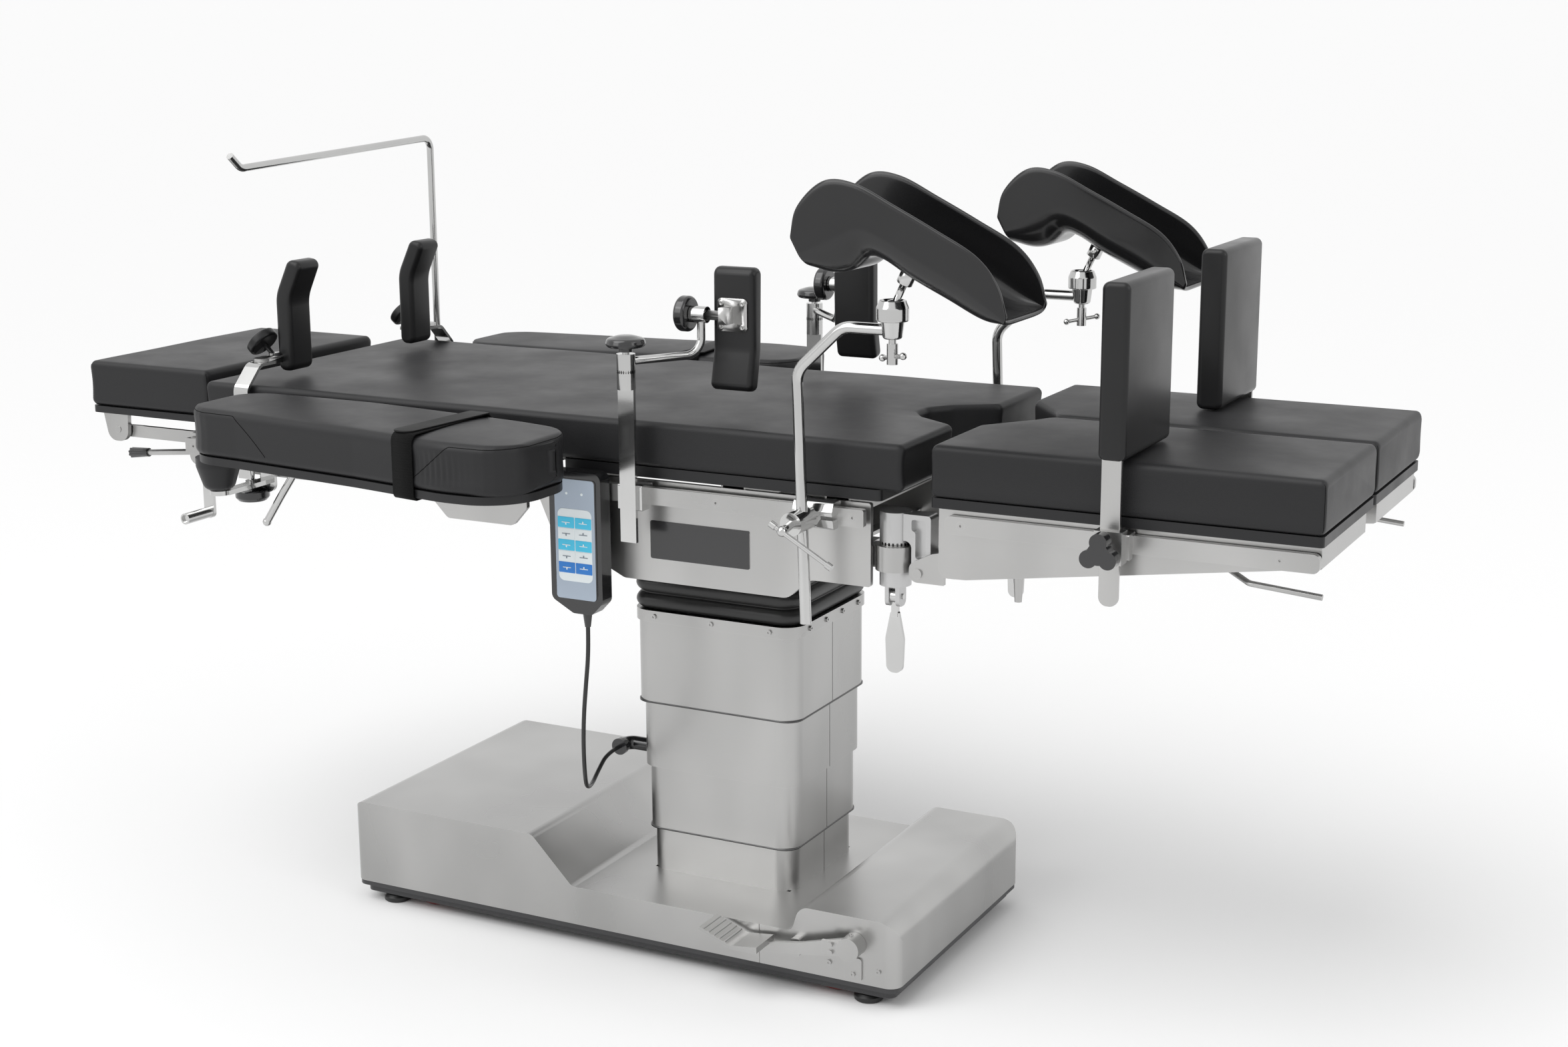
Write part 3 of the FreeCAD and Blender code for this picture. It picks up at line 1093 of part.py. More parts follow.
def arm_board(side):
    """Black arm board with its rounded pivot boss."""
    board = prism(arm_outline(2), "xy", ARM_BOARD_Z, ARM_BOARD_Z + ARM_BOARD_THICKNESS)
    boss = revolve_z([(0, ARM_BOARD_Z - 52, 0), (22, ARM_BOARD_Z - 52, 14), (34, ARM_BOARD_Z - 14, 16),
                      (34, ARM_BOARD_Z, 0), (0, ARM_BOARD_Z, 0)], ARM_PIVOT_X, ARM_PIVOT_Y)
    bore = rod((ARM_PIVOT_X, ARM_PIVOT_Y, ARM_BOARD_Z - 60), (ARM_PIVOT_X, ARM_PIVOT_Y, ARM_BOARD_Z - 6),
               ARM_STUD_R + RUNNING_CLEARANCE)
    shape = union(board, boss).cut(bore)
    return mirrored(shape) if side < 0 else shape


def arm_pad(side):
    """Arm cushion, rounded at both ends."""
    low = ARM_BOARD_Z + ARM_BOARD_THICKNESS + SOFT_GAP
    pad = rounded_pad(arm_outline(0), low, low + ARM_PAD_THICKNESS, 12)
    return mirrored(pad) if side < 0 else pad


def arm_clamp():
    """Rail clamp of an arm board: tongue, bar with the pivot stud, disc knob and locking lever."""
    x, y, z, knob_y = ARM_CLAMP_X, RAIL_OUT_Y, RAIL_Z, ARM_KNOB_Y
    half = RAIL_HEIGHT / 2
    hook = prism([(y, z - half - 5, 2), (y + 12, z - half - 5, 2), (y + 12, z + half - 6, 2), (y, z + half - 6, 0)],
                 "yz", x - 24, x + 24)
    tongue = prism([(x - 15, z + half - 8, 0), (x - 15, z - 56, 14), (x + 14, z - 56, 14), (x + 14, z + half - 8, 0)],
                   "xz", y + 12, y + 18)
    bar_top = ARM_BOARD_Z - 53
    bar = box(x - 15, x + 5, y + 15, ARM_PIVOT_Y, bar_top - 7, bar_top)
    bar_end = rod((ARM_PIVOT_X, ARM_PIVOT_Y, bar_top - 7), (ARM_PIVOT_X, ARM_PIVOT_Y, bar_top), 15)
    stud = rod((ARM_PIVOT_X, ARM_PIVOT_Y, bar_top - 4), (ARM_PIVOT_X, ARM_PIVOT_Y, ARM_BOARD_Z - 8), ARM_STUD_R)
    knob_x = x - 26
    knob = revolve_z([(0, z - 70, 0), (22, z - 70, 4), (27, z - 64, 4), (27, z - 52, 4), (10, z - 46, 6), (10, z - 38, 0),
                      (0, z - 38, 0)], knob_x, knob_y)
    knob_stud = rod((knob_x, knob_y, z - 40), (knob_x, knob_y, z - 4), 5)
    knob_seat = box(knob_x - 14, knob_x + 14, y + 12, knob_y + 10, z - 12, z - 6)
    lever = bent_rod([(x + 58, knob_y, z - 22), (x + 30, knob_y, z - 60), (x, knob_y, z - 103)], 6, 40)
    tip = Part.makeSphere(7, V(x, knob_y, z - 103))
    lever_seat = box(x + 20, x + 70, y, knob_y + 4, z - 26, z - half - 5)
    return [union(hook, tongue, bar, bar_end, stud, knob_seat), union(knob, knob_stud.cut(knob_seat)),
            union(lever, tip, lever_seat)]


def shoulder_bracket():
    """Rail clamp and bent flat band that carries one shoulder support."""
    half_w = SHOULDER_BAND_WIDTH / 2
    y = RAIL_OUT_Y + SHOULDER_BAND_THICKNESS / 2
    top = SHOULDER_TOP_Z
    low = RAIL_Z - RAIL_HEIGHT / 2 - 30
    line = [(y, low), (y, top - 34), (y - 34, top), (y - 103, top)]
    band = prism(strip(line, SHOULDER_BAND_THICKNESS, 14), "yz", SHOULDER_X - half_w, SHOULDER_X + half_w)
    slot = prism(rectangle(SHOULDER_X - 4.5, SHOULDER_X + 4.5, y - 96, y - 42, 4.4), "xy", top - 10, top + 10)
    z = RAIL_Z
    half = RAIL_HEIGHT / 2
    yo = RAIL_OUT_Y + SHOULDER_BAND_THICKNESS
    block = prism([(yo, z - half - 8, 2), (yo + 12, z - half - 8, 3), (yo + 12, z + half + 4, 3), (yo, z + half + 4, 2)],
                  "yz", SHOULDER_X - half_w - 5, SHOULDER_X + half_w + 5)
    return union(band.cut(slot), block)


def shoulder_pad(side):
    """Shoulder support: slotted plate, tilted clamping knob and bent pad."""
    top = SHOULDER_TOP_Z + SHOULDER_BAND_THICKNESS / 2 + SOFT_GAP
    x = SHOULDER_X
    half_w = SHOULDER_BAND_WIDTH / 2
    plate = prism([(x - half_w, 236, 13.5), (x - half_w, 158, 3), (x + half_w, 158, 3), (x + half_w, 236, 13.5)],
                  "xy", top, top + 5)
    slot = prism(rectangle(x - 4.5, x + 4.5, 178, 224, 4.4), "xy", top - 1, top + 6)
    riser = box(x + 3, x + half_w, 158, 174, top + 5, top + 24)
    foot = V(x - 10, 190, top + 5)
    lean = V(-math.sin(math.radians(47)), 0, math.cos(math.radians(47)))
    washer = Part.makeCylinder(11, 4, V(x, 190, top + 5), V(0, 0, 1))
    stud = Part.makeCylinder(4, 26, foot + lean * -2 + V(4, 0, 2), lean)
    knob = Part.makeCylinder(26, 15, foot + lean * 20 + V(4, 0, 2), lean)
    knob = knob.makeFillet(4, [e for e in knob.Edges if e.Length > 100])
    low = top - 20
    lean_x = 28.0
    profile = [(x + 3, low, 12), (x + 3, low + 122, 60), (x + 3 + lean_x, low + 180, 13),
               (x + 33 + lean_x, low + 176, 13), (x + 33, low + 116, 60), (x + 33, low, 12)]
    pad = prism(profile, "xz", 135, 190)
    notch = box(x - half_w - 1, x + half_w + 1, 150, 191, low - 1, top + 5.3)
    pad = pad.cut(notch)
    knob_side = union(plate.cut(slot), washer, stud, knob, riser)
    pieces = [knob_side.cut(pad), pad]
    return [mirrored(p) for p in pieces] if side < 0 else pieces


def screen_clamp():
    """Rail clamp with the upright socket of the screen's rod."""
    z = RAIL_Z
    half = RAIL_HEIGHT / 2
    block = prism([(RAIL_OUT_Y, z - half - 8, 2), (SCREEN_Y + 12, z - half - 8, 3), (SCREEN_Y + 12, z + half + 6, 3),
                   (RAIL_OUT_Y, z + half + 6, 2)], "yz", SCREEN_X - 14, SCREEN_X + 14)
    bore = rod((SCREEN_X, SCREEN_Y, z - half - 2), (SCREEN_X, SCREEN_Y, z + 60), SCREEN_ROD_R + RUNNING_CLEARANCE)
    return block.cut(bore)


def screen_rod():
    """Bent rod that holds the drape over the patient's neck."""
    x, y = SCREEN_X, SCREEN_Y
    low = RAIL_Z - RAIL_HEIGHT / 2 - 1.5
    top = 1206.0
    return bent_rod([(x, y, low), (x, y, top), (x + 6, -222, top - 19), (x + 6, -246, top + 2)], SCREEN_ROD_R, 20)


def lateral_clamp():
    """Rail clamp, upright flat bar and toothed collar of one lateral support."""
    x, y = LATERAL_X, LATERAL_Y
    half_w = LATERAL_BAR_WIDTH / 2
    half_t = LATERAL_BAR_THICKNESS / 2
    z = RAIL_Z
    half = RAIL_HEIGHT / 2
    bar = box(x - half_w, x + half_w, y - half_t, y + half_t, z - 65, LATERAL_TOP_Z)
    block = prism([(RAIL_OUT_Y, z - half - 6, 2), (y - half_t, z - half - 6, 2), (y - half_t, z + half + 6, 2),
                   (RAIL_OUT_Y - 9, z + half + 6, 2), (RAIL_OUT_Y - 9, z + half + 0.3, 0),
                   (RAIL_OUT_Y, z + half + 0.3, 0)], "yz", x - 20, x + 20)
    collar = rod((x, y, LATERAL_TOP_Z - 3), (x, y, LATERAL_TOP_Z + 20), LATERAL_COLLAR_R)
    tooth_z = LATERAL_TOP_Z + 20
    teeth = tooth_ring(x, y, tooth_z, LATERAL_COLLAR_R, 6)
    stud = rod((x, y, LATERAL_TOP_Z + 10), (x, y, LATERAL_TOP_Z + 58), 5)
    knob_z = LATERAL_TOP_Z + 51
    knob = revolve_z([(0, knob_z, 0), (10, knob_z, 0), (10, knob_z + 5, 0), (26, knob_z + 7, 3), (29, knob_z + 11, 3),
                      (27, knob_z + 19, 6), (10, knob_z + 24, 40), (0, knob_z + 24, 0)], x, y)
    return [union(bar, block, collar, teeth, stud), knob.cut(stud)]


def lateral_arm(side, end_x):
    """Toothed hub, bent rod and clevis that hold one lateral pad."""
    x, y = LATERAL_X, LATERAL_Y
    low = LATERAL_TOP_Z + 20 + TOOTH_HEIGHT + TOOTH_GAP
    hub = tube((x, y, low + TOOTH_HEIGHT), (x, y, low + 25), LATERAL_COLLAR_R, 5.3)
    teeth = tooth_ring_facing_down(x, y, low + TOOTH_HEIGHT, LATERAL_COLLAR_R, 6)
    z = low + 14
    bore = rod((x, y, low - 1), (x, y, low + 40), 5.3)
    arm = bent_rod([(x, y, z), (end_x, LATERAL_ARM_END_Y, z), (end_x, LATERAL_ARM_END_Y, z + 58)], 6, 25)
    ball = Part.makeSphere(10, V(end_x, LATERAL_ARM_END_Y, z + 58))
    socket = tube((end_x - 15, LATERAL_ARM_END_Y, z + 58), (end_x + 10, LATERAL_ARM_END_Y, z + 58), 12, 10.2)
    knob = rod((end_x - 34, LATERAL_ARM_END_Y, z + 58), (end_x - 16, LATERAL_ARM_END_Y, z + 58), 26)
    knob = knob.makeFillet(5, [e for e in knob.Edges if e.Length > 100])
    stud = rod((end_x - 20, LATERAL_ARM_END_Y, z + 58), (end_x, LATERAL_ARM_END_Y, z + 58), 6)
    pieces = [union(hub, teeth, arm.cut(bore), ball, stud, knob, socket)]
    return [mirrored(p) for p in pieces] if side < 0 else pieces


def lateral_pad(side, end_x):
    """Bent lateral pad with its fixing plate and four screws."""
    z = LATERAL_TOP_Z + 20 + TOOTH_HEIGHT + TOOTH_GAP + 14 + 58
    y = LATERAL_ARM_END_Y
    x = end_x + 44
    far = y - 44
    profile = [(far + 15, z - 112, 10), (far + 3, z - 56, 60), (far, z + 68, 12), (far + 28, z + 68, 12),
               (far + 29, z - 50, 60), (far + 42, z - 108, 10)]
    pad = prism(profile, "yz", x - 34, x + 34)
    plate = prism(rectangle(x - 24, x + 24, z - 24, z + 24, 7), "xz", far + 28.4, far + 31.4)
    link = rod((end_x + 10 + RUNNING_CLEARANCE, y, z), (x - 6, y, z), 7)
    lug = box(x - 12, x + 2, far + 31, y + 7, z - 12, z + 12)
    screws = [socket_screw((x + dx, far + 31.4, z + dz), (0, 1, 0), 4) for dx in (-17, 17) for dz in (-17, 17)]
    pieces = [pad, union(plate, link, lug, *screws)]
    return [mirrored(p) for p in pieces] if side < 0 else pieces


def holder_rod_x(x, height):
    """Where the leaning part of a leg holder's rod is at a height above the rail's middle."""
    return x + HOLDER_LEAN_X * (0.5 - (height + 147.0) / 354.0) + 1.75


def holder_clamp(shift_x):
    """Rail clamp of one leg holder: slotted block, barrel and screw with its bar."""
    x = HOLDER_X + shift_x
    z = RAIL_Z
    half = RAIL_HEIGHT / 2
    y = RAIL_OUT_Y
    block = prism([(y, z - half - 4, 2), (y + 14, z - half - 4, 3), (y + 20, z + half - 4, 4), (y + 14, z + half + 9, 4),
                   (y - 9, z + half + 9, 2), (y - 9, z + half + 0.3, 0), (y, z + half + 0.3, 0)], "yz", x - 23, x + 38)
    slot = box(x + 20, x + 39, y - 12, y + 24, z - 3, z + 3)
    barrel = rod((x, y + 10, z - 1), (x, y + 70, z - 1), 16.5)
    way = rod((holder_rod_x(x, -60), HOLDER_Y, z - 60), (holder_rod_x(x, 60), HOLDER_Y, z + 60),
              HOLDER_ROD_R + RUNNING_CLEARANCE * 2)
    screw = rod((x, y + 68, z - 1), (x, y + 92, z - 5), 6)
    ball = Part.makeSphere(7.5, V(x, y + 95, z - 5))
    bar = rod((x - 17, y + 97, z + 5), (x + 76, y + 97, z - 48), 3.5)
    ends = [rod((x - 17, y + 97, z + 5), (x - 9, y + 97, z + 0.5), 5), rod((x + 68, y + 97, z - 43.5), (x + 76, y + 97, z - 48), 5)]
    return union(block.cut(slot), barrel).cut(way), union(screw, ball, bar, *ends)


def holder_rod(side, shift_x, drop):
    """Bent rod of one leg holder, with the ball socket at its top."""
    x, y = HOLDER_X + shift_x, HOLDER_Y
    z = HOLDER_TOP_Z - drop
    low = RAIL_Z - 147.0
    line = [(holder_rod_x(x, -147), y, low), (holder_rod_x(x, 207), y, low + 354), (x + 64, y, z), (x + 132, y, z)]
    if drop:
        line[0] = (holder_rod_x(x, -147 - drop), y, low - drop)
        line[1] = (holder_rod_x(x, 207 - drop), y, low + 354 - drop)
    bar = bent_rod(line, HOLDER_ROD_R, 34)
    cx = x + HOLDER_REACH
    ball_z = z + HOLDER_BALL_RISE
    cup = revolve_z([(0, z - 12, 0), (13, z - 12, 5), (16, z + 12, 0), (0, z + 12, 0)], cx, y)
    cap = revolve_z([(0, z + 12, 0), (22, z + 12, 2), (22, ball_z + 2, 5), (18, ball_z + 12, 1), (0, ball_z + 12, 0)], cx, y)
    seat = Part.makeSphere(HOLDER_BALL_R + RUNNING_CLEARANCE, V(cx, y, ball_z))
    mouth = cone((cx, y, ball_z + 4), (cx, y, ball_z + 13), 11.4, 17.2)
    screw = rod((cx, y, z - 40), (cx, y, z - 10), 5)
    sleeve = rod((cx, y, z - 46), (cx, y, z - 18), 7.5)
    bar_t = rod((cx - 20, y - 12, z - 40), (cx + 21, y + 12, z - 32), 3)
    balls = [Part.makeSphere(5, V(cx - 20, y - 12, z - 40)), Part.makeSphere(5, V(cx + 21, y + 12, z - 32))]
    head = union(bar, cup, cap, screw, sleeve, bar_t, *balls).cut([seat, mouth])
    return mirrored(head) if side < 0 else head


def gutter(floor, bend, width, depth, wall):
    """A round-bottomed open gutter along two runs in the XZ plane that turn downwards."""
    half = width / 2
    radius = GUTTER_CORNER_R
    section = Part.Face(flat_wire([
        (-half, depth, 0), (-half, 0, radius), (half, 0, radius), (half, depth, 0),
        (half - wall, depth, 0), (half - wall, wall, radius - wall), (-half + wall, wall, radius - wall),
        (-half + wall, depth, 0)]))
    start, crest, end = (V(*p) for p in floor)
    first, second = (crest - start).normalize(), (end - crest).normalize()
    turn = first.getAngle(second)
    reach = bend * math.tan(turn / 2)
    runs = [(start, first, (crest - start).Length - reach),
            (crest + second * reach, second, (end - crest).Length - reach)]
    pieces = []
    for at, along, length in runs:
        run = section.extrude(V(0, 0, length))
        run.Placement = gutter_frame(at, along)
        pieces.append(run)
    curve = section.revolve(V(0, -bend, 0), V(1, 0, 0), math.degrees(turn))
    curve.Placement = gutter_frame(crest - first * reach, first)
    return union(*pieces, curve)


def gutter_frame(at, along):
    """The frame of a gutter's section: width across the table, depth upwards."""
    up = V(along.z, 0, -along.x)
    return FreeCAD.Placement(FreeCAD.Matrix(0, up.x, along.x, at.x, -1, up.y, along.y, at.y,
                                            0, up.z, along.z, at.z, 0, 0, 0, 1))


def trough_stem(ball_at, lean):
    """Ball, stem and sleeve under a trough, turned as one piece along its leaning axis."""
    out = V(lean.z, 0, -lean.x)
    neck = math.sqrt(HOLDER_BALL_R ** 2 - TROUGH_STEM_R ** 2)
    top = SLEEVE_FROM + SLEEVE_LENGTH
    profile = [(TROUGH_STEM_R, neck), (TROUGH_STEM_R, SLEEVE_FROM), (SLEEVE_R, SLEEVE_FROM), (SLEEVE_R, top), (0, top),
               (0, -HOLDER_BALL_R)]
    points = [ball_at + out * radius + lean * height for radius, height in profile]
    edges = [Part.makeLine(a, b) for a, b in zip(points, points[1:])]
    edges.append(Part.Arc(points[-1], ball_at + out * HOLDER_BALL_R, points[0]).toShape())
    return Part.Face(Part.Wire(edges)).revolve(ball_at, lean, 360)


def holder_trough(side, shift_x, drop):
    """Leg trough: gutter that hooks down at the knee, with its stem and ball."""
    cx, y = HOLDER_X + shift_x + HOLDER_REACH, HOLDER_Y
    z = 1040.0 - drop
    floor = [(cx + 200, y, z - 5), (cx, y, z + 90), (cx - 100, y, z + 10)]
    body = gutter(floor, 30.0, TROUGH_WIDTH, 112, TROUGH_WALL)
    outline = [(cx + 192, z + 0, 16), (cx + 156, z + 88, 60), (cx + 6, z + 162, 90), (cx - 62, z + 186, 50),
               (cx - 124, z + 118, 60), (cx - 98, z + 52, 24), (cx - 44, z + 52, 20), (cx - 6, z + 90, 10),
               (cx + 20, z + 66, 0), (cx + 170, z - 6, 10)]
    keep = prism(outline, "xz", y - TROUGH_WIDTH, y + TROUGH_WIDTH)
    body = body.common(keep)
    lean = V(math.sin(math.radians(25.4)), 0, math.cos(math.radians(25.4)))
    ball_at = V(cx, y, HOLDER_TOP_Z - drop + HOLDER_BALL_RISE)
    sleeve = Part.makeCylinder(SLEEVE_R, SLEEVE_LENGTH, ball_at + lean * SLEEVE_FROM, lean)
    pieces = [body.cut(sleeve), trough_stem(ball_at, lean)]
    return [mirrored(p) for p in pieces] if side < 0 else pieces


def side_support(side):
    """Side support: flat bar from the leg rail, and the pad across the leg."""
    x, y = SIDE_BAR_X, SIDE_BAR_Y
    bar = prism(rectangle(x - 13.5, x + 13.5, LEG_RAIL_Z - 80, LEG_RAIL_Z + 200, 6), "xz", y - 3, y + 3)
    low = BOARD_UNDER_Z + BOARD_THICKNESS + LEG_PAD_THICKNESS + 5
    pad = prism(rectangle(x - 19, x + 19, low, low + 232, 7), "xz", SIDE_PAD_IN_Y, y + 6)
    pad = pad.makeFillet(6, [e for e in pad.Edges if e.BoundBox.YLength < 1e-6 and e.BoundBox.ZLength > 100])
    pieces = [bar.cut(pad), pad]
    return [mirrored(p) for p in pieces] if side < 0 else pieces


def controller_body():
    """Hand control with its keypad plate, hook on the rail and strain relief."""
    x0 = CONTROL_X - CONTROL_WIDTH / 2
    x1 = CONTROL_X + CONTROL_WIDTH / 2
    back = -RAIL_OUT_Y - SOFT_GAP
    front = back - CONTROL_THICKNESS
    z0, z1 = CONTROL_Z, CONTROL_Z + CONTROL_HEIGHT
    outline = [(x0, z0 + 20, 12), (x0, z1, 12), (x1, z1, 12), (x1, z0 + 20, 12), (CABLE_EXIT_X + 16, z0, 10),
               (CABLE_EXIT_X - 16, z0, 10)]
    body = prism(outline, "xz", front, back - 4)
    face = prism(rectangle(x0 + 8, x1 - 8, z0 + 26, z1 - 10, 6), "xz", front - 1, front)
    hook = prism([(back - 6, RAIL_Z - 8, 0), (back, RAIL_Z - 8, 0), (back, RAIL_Z + RAIL_HEIGHT / 2 + 0.4, 0),
                  (back + RAIL_DEPTH + 1, RAIL_Z + RAIL_HEIGHT / 2 + 0.4, 0),
                  (back + RAIL_DEPTH + 1, RAIL_Z + RAIL_HEIGHT / 2 + 3, 0), (back - 6, RAIL_Z + RAIL_HEIGHT / 2 + 3, 0)],
                 "yz", x0 + 14, x1 - 14)
    relief = cone((CABLE_EXIT_X, CONTROL_Y, z0 + 1), (CABLE_EXIT_X, CONTROL_Y, z0 - 22), 7.5, 4.5)
    return union(body, face, hook, relief)


def cable_route():
    """Points of the hand control's cable, from its strain relief to the column's socket."""
    face_x = COLUMN_X - COVER_TOP_HALF_X + COVER_STEP
    x, y, z = CABLE_EXIT_X, CONTROL_Y, CONTROL_Z - 22
    sx, sy, sz = face_x - 52, -100.0, COVER_MIDDLE_Z + 14
    return [(x, y, z), (x, y, z - 38), (x - 2, y - 6, z - 86), (x - 6, y - 8, z - 134), (x - 12, y - 2, z - 184),
            (x - 20, y + 12, z - 232), (x - 34, y + 38, z - 268), (x - 52, y + 80, z - 282),
            (x - 64, y + 122, z - 270), (sx, sy - 36, sz), (sx, sy, sz)]


def cable_radii(points):
    """The bend radius at each inner point: as large as its two runs allow."""
    pts = [V(*p) for p in points]
    radii = []
    for i in range(1, len(pts) - 1):
        a, b = pts[i] - pts[i - 1], pts[i + 1] - pts[i]
        turn = a.getAngle(b)
        radii.append(0.45 * min(a.Length, b.Length) / math.tan(turn / 2))
    return radii


def controller_cord():
    """The hand control's cable."""
    points = cable_route()
    radii = cable_radii(points)
    route = bend_route(points, radii)
    ring = Part.Wire(Part.Circle(V(*points[0]), V(*points[1]) - V(*points[0]), CABLE_R).toShape())
    cord = route.makePipeShell([ring], True, False)
    print("cable radii", [round(r) for r in radii], "length", round(route.Length),
          "volume ratio", round(cord.Volume / (route.Length * math.pi * CABLE_R ** 2), 3))
    return cord


def export_base():
    """Base, feet, wheels, pedal and column."""
    low = BASE_DECK_Z
    export("base_chassis", base_chassis())
    export("base_cover", [base_cover()] + cover_fittings())
    export("floor_feet", floor_feet())
    export("castor_wheels_head", castor_pair(WHEEL_HEAD_X))
    export("castor_wheels_foot", castor_pair(WHEEL_FOOT_X))
    export("brake_pedal", brake_pedal())
    export("column_cover_base", cover_section(LAST_COVER, low, low + COVER_BASE_HEIGHT))
    export("column_cover_lower", cover_section(2, COVER_LOWER_Z, COVER_LOWER_Z + COVER_LOWER_HEIGHT))
    middle = cover_section(1, COVER_MIDDLE_Z, COVER_MIDDLE_Z + COVER_MIDDLE_HEIGHT)
    export("column_cover_middle", [middle, *mast_stage(1, MAST_MIDDLE_Z, MAST_MIDDLE_Z + MAST_MIDDLE_HEIGHT)])
    export("cable_socket", cable_socket())
    export("column_cover_upper", column_cover_upper())
    export("mast_top_stage", mast_top_stage())
    export("bellows", bellows())
    export("tilt_cradle", tilt_cradle())


def export_top():
    """Seat, back and head sections."""
    export("seat_frame", seat_frame())
    export("seat_rails", seat_rails())
    export("seat_board", seat_board())
    export("seat_pad", seat_pad())
    export("pad_fold", pad_fold())
    export("back_frame", back_frame())
    export("back_rails", back_rails())
    export("back_board", back_board())
    export("back_pad", back_pad())
    export("head_link", head_link())
    export("head_lever", head_lever())
    export("head_crank", head_crank())
    export("head_ears", head_ears())
    export("head_board", head_board())
    export("head_pad", head_pad())


def export_pairs():
    """Everything that stands on both sides of the table with its own joints."""
    for name, side in (("front", -1), ("rear", 1)):
        shift = REAR_HOLDER_SHIFT_X if side > 0 else 0.0
        drop = REAR_HOLDER_DROP if side > 0 else 0.0
        end_x = LATERAL_REAR_END_X if side > 0 else LATERAL_FRONT_END_X
        export(f"leg_yoke_{name}", leg_yoke(side))
        export(f"leg_frame_{name}", leg_frame(side))
        export(f"leg_board_{name}", leg_board(side))
        export(f"leg_pad_{name}", leg_pad(side))
        export(f"leg_clamp_lever_{name}", leg_clamp_lever(side))
        export(f"arm_board_{name}", arm_board(side))
        export(f"arm_pad_{name}", arm_pad(side))
        export(f"shoulder_pad_{name}", shoulder_pad(side))
        export(f"lateral_arm_{name}", lateral_arm(side, end_x))
        export(f"lateral_pad_{name}", lateral_pad(side, end_x))
        export(f"holder_rod_{name}", holder_rod(side, shift, drop))
        export(f"holder_trough_{name}", holder_trough(side, shift, drop))
        export(f"side_support_{name}", side_support(side))


def export_rail_clamps():
    """Clamps that stay on the rails, the screen's rod, and the hand control."""
    arm = arm_clamp()
    bracket = shoulder_bracket()
    export("back_rail_clamps", arm + [mirrored(p) for p in arm] + both(bracket) + [screen_clamp()])
    lateral = lateral_clamp()
    front = list(holder_clamp(0.0))
    rear = list(holder_clamp(REAR_HOLDER_SHIFT_X))
    export("seat_rail_clamps", lateral + [mirrored(p) for p in lateral] + [mirrored(p) for p in front] + rear)
    export("screen_rod", screen_rod())
    export("controller_body", controller_body())
    export("controller_cord", controller_cord())


os.makedirs("parts", exist_ok=True)
export_base()
export_top()
export_pairs()
export_rail_clamps()
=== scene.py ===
"""Operating table with arm boards, leg supports and shoulder, side and body supports."""

import json
import logging
import math
from dataclasses import dataclass
from enum import Enum

import bmesh
import bpy
import numpy as np
from mathutils import Matrix, Vector
from mathutils.bvhtree import BVHTree


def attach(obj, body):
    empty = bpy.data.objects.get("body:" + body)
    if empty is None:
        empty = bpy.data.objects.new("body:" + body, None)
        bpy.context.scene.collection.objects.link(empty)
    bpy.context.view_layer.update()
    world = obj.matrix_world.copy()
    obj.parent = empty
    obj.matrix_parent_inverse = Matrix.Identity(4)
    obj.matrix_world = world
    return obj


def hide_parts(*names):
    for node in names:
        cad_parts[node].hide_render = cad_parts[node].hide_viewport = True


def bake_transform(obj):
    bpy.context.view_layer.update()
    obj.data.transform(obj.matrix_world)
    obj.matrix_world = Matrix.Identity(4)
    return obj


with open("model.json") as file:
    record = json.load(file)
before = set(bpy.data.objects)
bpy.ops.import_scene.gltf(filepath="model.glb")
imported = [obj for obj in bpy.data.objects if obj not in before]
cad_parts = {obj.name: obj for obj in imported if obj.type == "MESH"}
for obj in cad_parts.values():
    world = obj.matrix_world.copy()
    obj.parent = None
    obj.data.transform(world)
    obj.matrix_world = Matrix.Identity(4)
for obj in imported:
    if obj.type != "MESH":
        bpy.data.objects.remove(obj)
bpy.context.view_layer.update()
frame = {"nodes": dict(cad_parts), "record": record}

MM = 0.001
LOG = logging.getLogger("operating_table")
Colour = tuple[float, float, float]
Corner = tuple[float, float, float]
Corners = tuple[Corner, ...] | list[Corner]
Pair = tuple[float, float]
Piece = bpy.types.Object
Tree = bpy.types.NodeTree


class Grain(Enum):
    """What a finish's small relief looks like."""

    LEATHER = "leather"
    BRUSHED = "brushed"
    STIPPLED = "stippled"
    POLISHED = "polished"
    RIBBED = "ribbed"


class Side(Enum):
    """The table's two long sides, with the sign of Y on each."""

    FRONT = -1
    REAR = 1

    @property
    def label(self) -> str:
        """The side's word in the CAD's node names."""
        return self.name.lower()


def add_group(name: str, inputs: dict[str, float], outputs: list[str]) -> Tree:
    """Makes a shader node group with float inputs and float outputs.

    Args:
        name: Name of the group.
        inputs: Input names and their default values.
        outputs: Output names.

    Returns:
        The group, with its input and output nodes in it.
    """
    group = bpy.data.node_groups.new(name, "ShaderNodeTree")
    for key, value in inputs.items():
        socket = group.interface.new_socket(name=key, in_out="INPUT", socket_type="NodeSocketFloat")
        socket.default_value = value
    for key in outputs:
        group.interface.new_socket(name=key, in_out="OUTPUT", socket_type="NodeSocketFloat")
    group.nodes.new("NodeGroupInput").name = "in"
    group.nodes.new("NodeGroupOutput").name = "out"
    return group


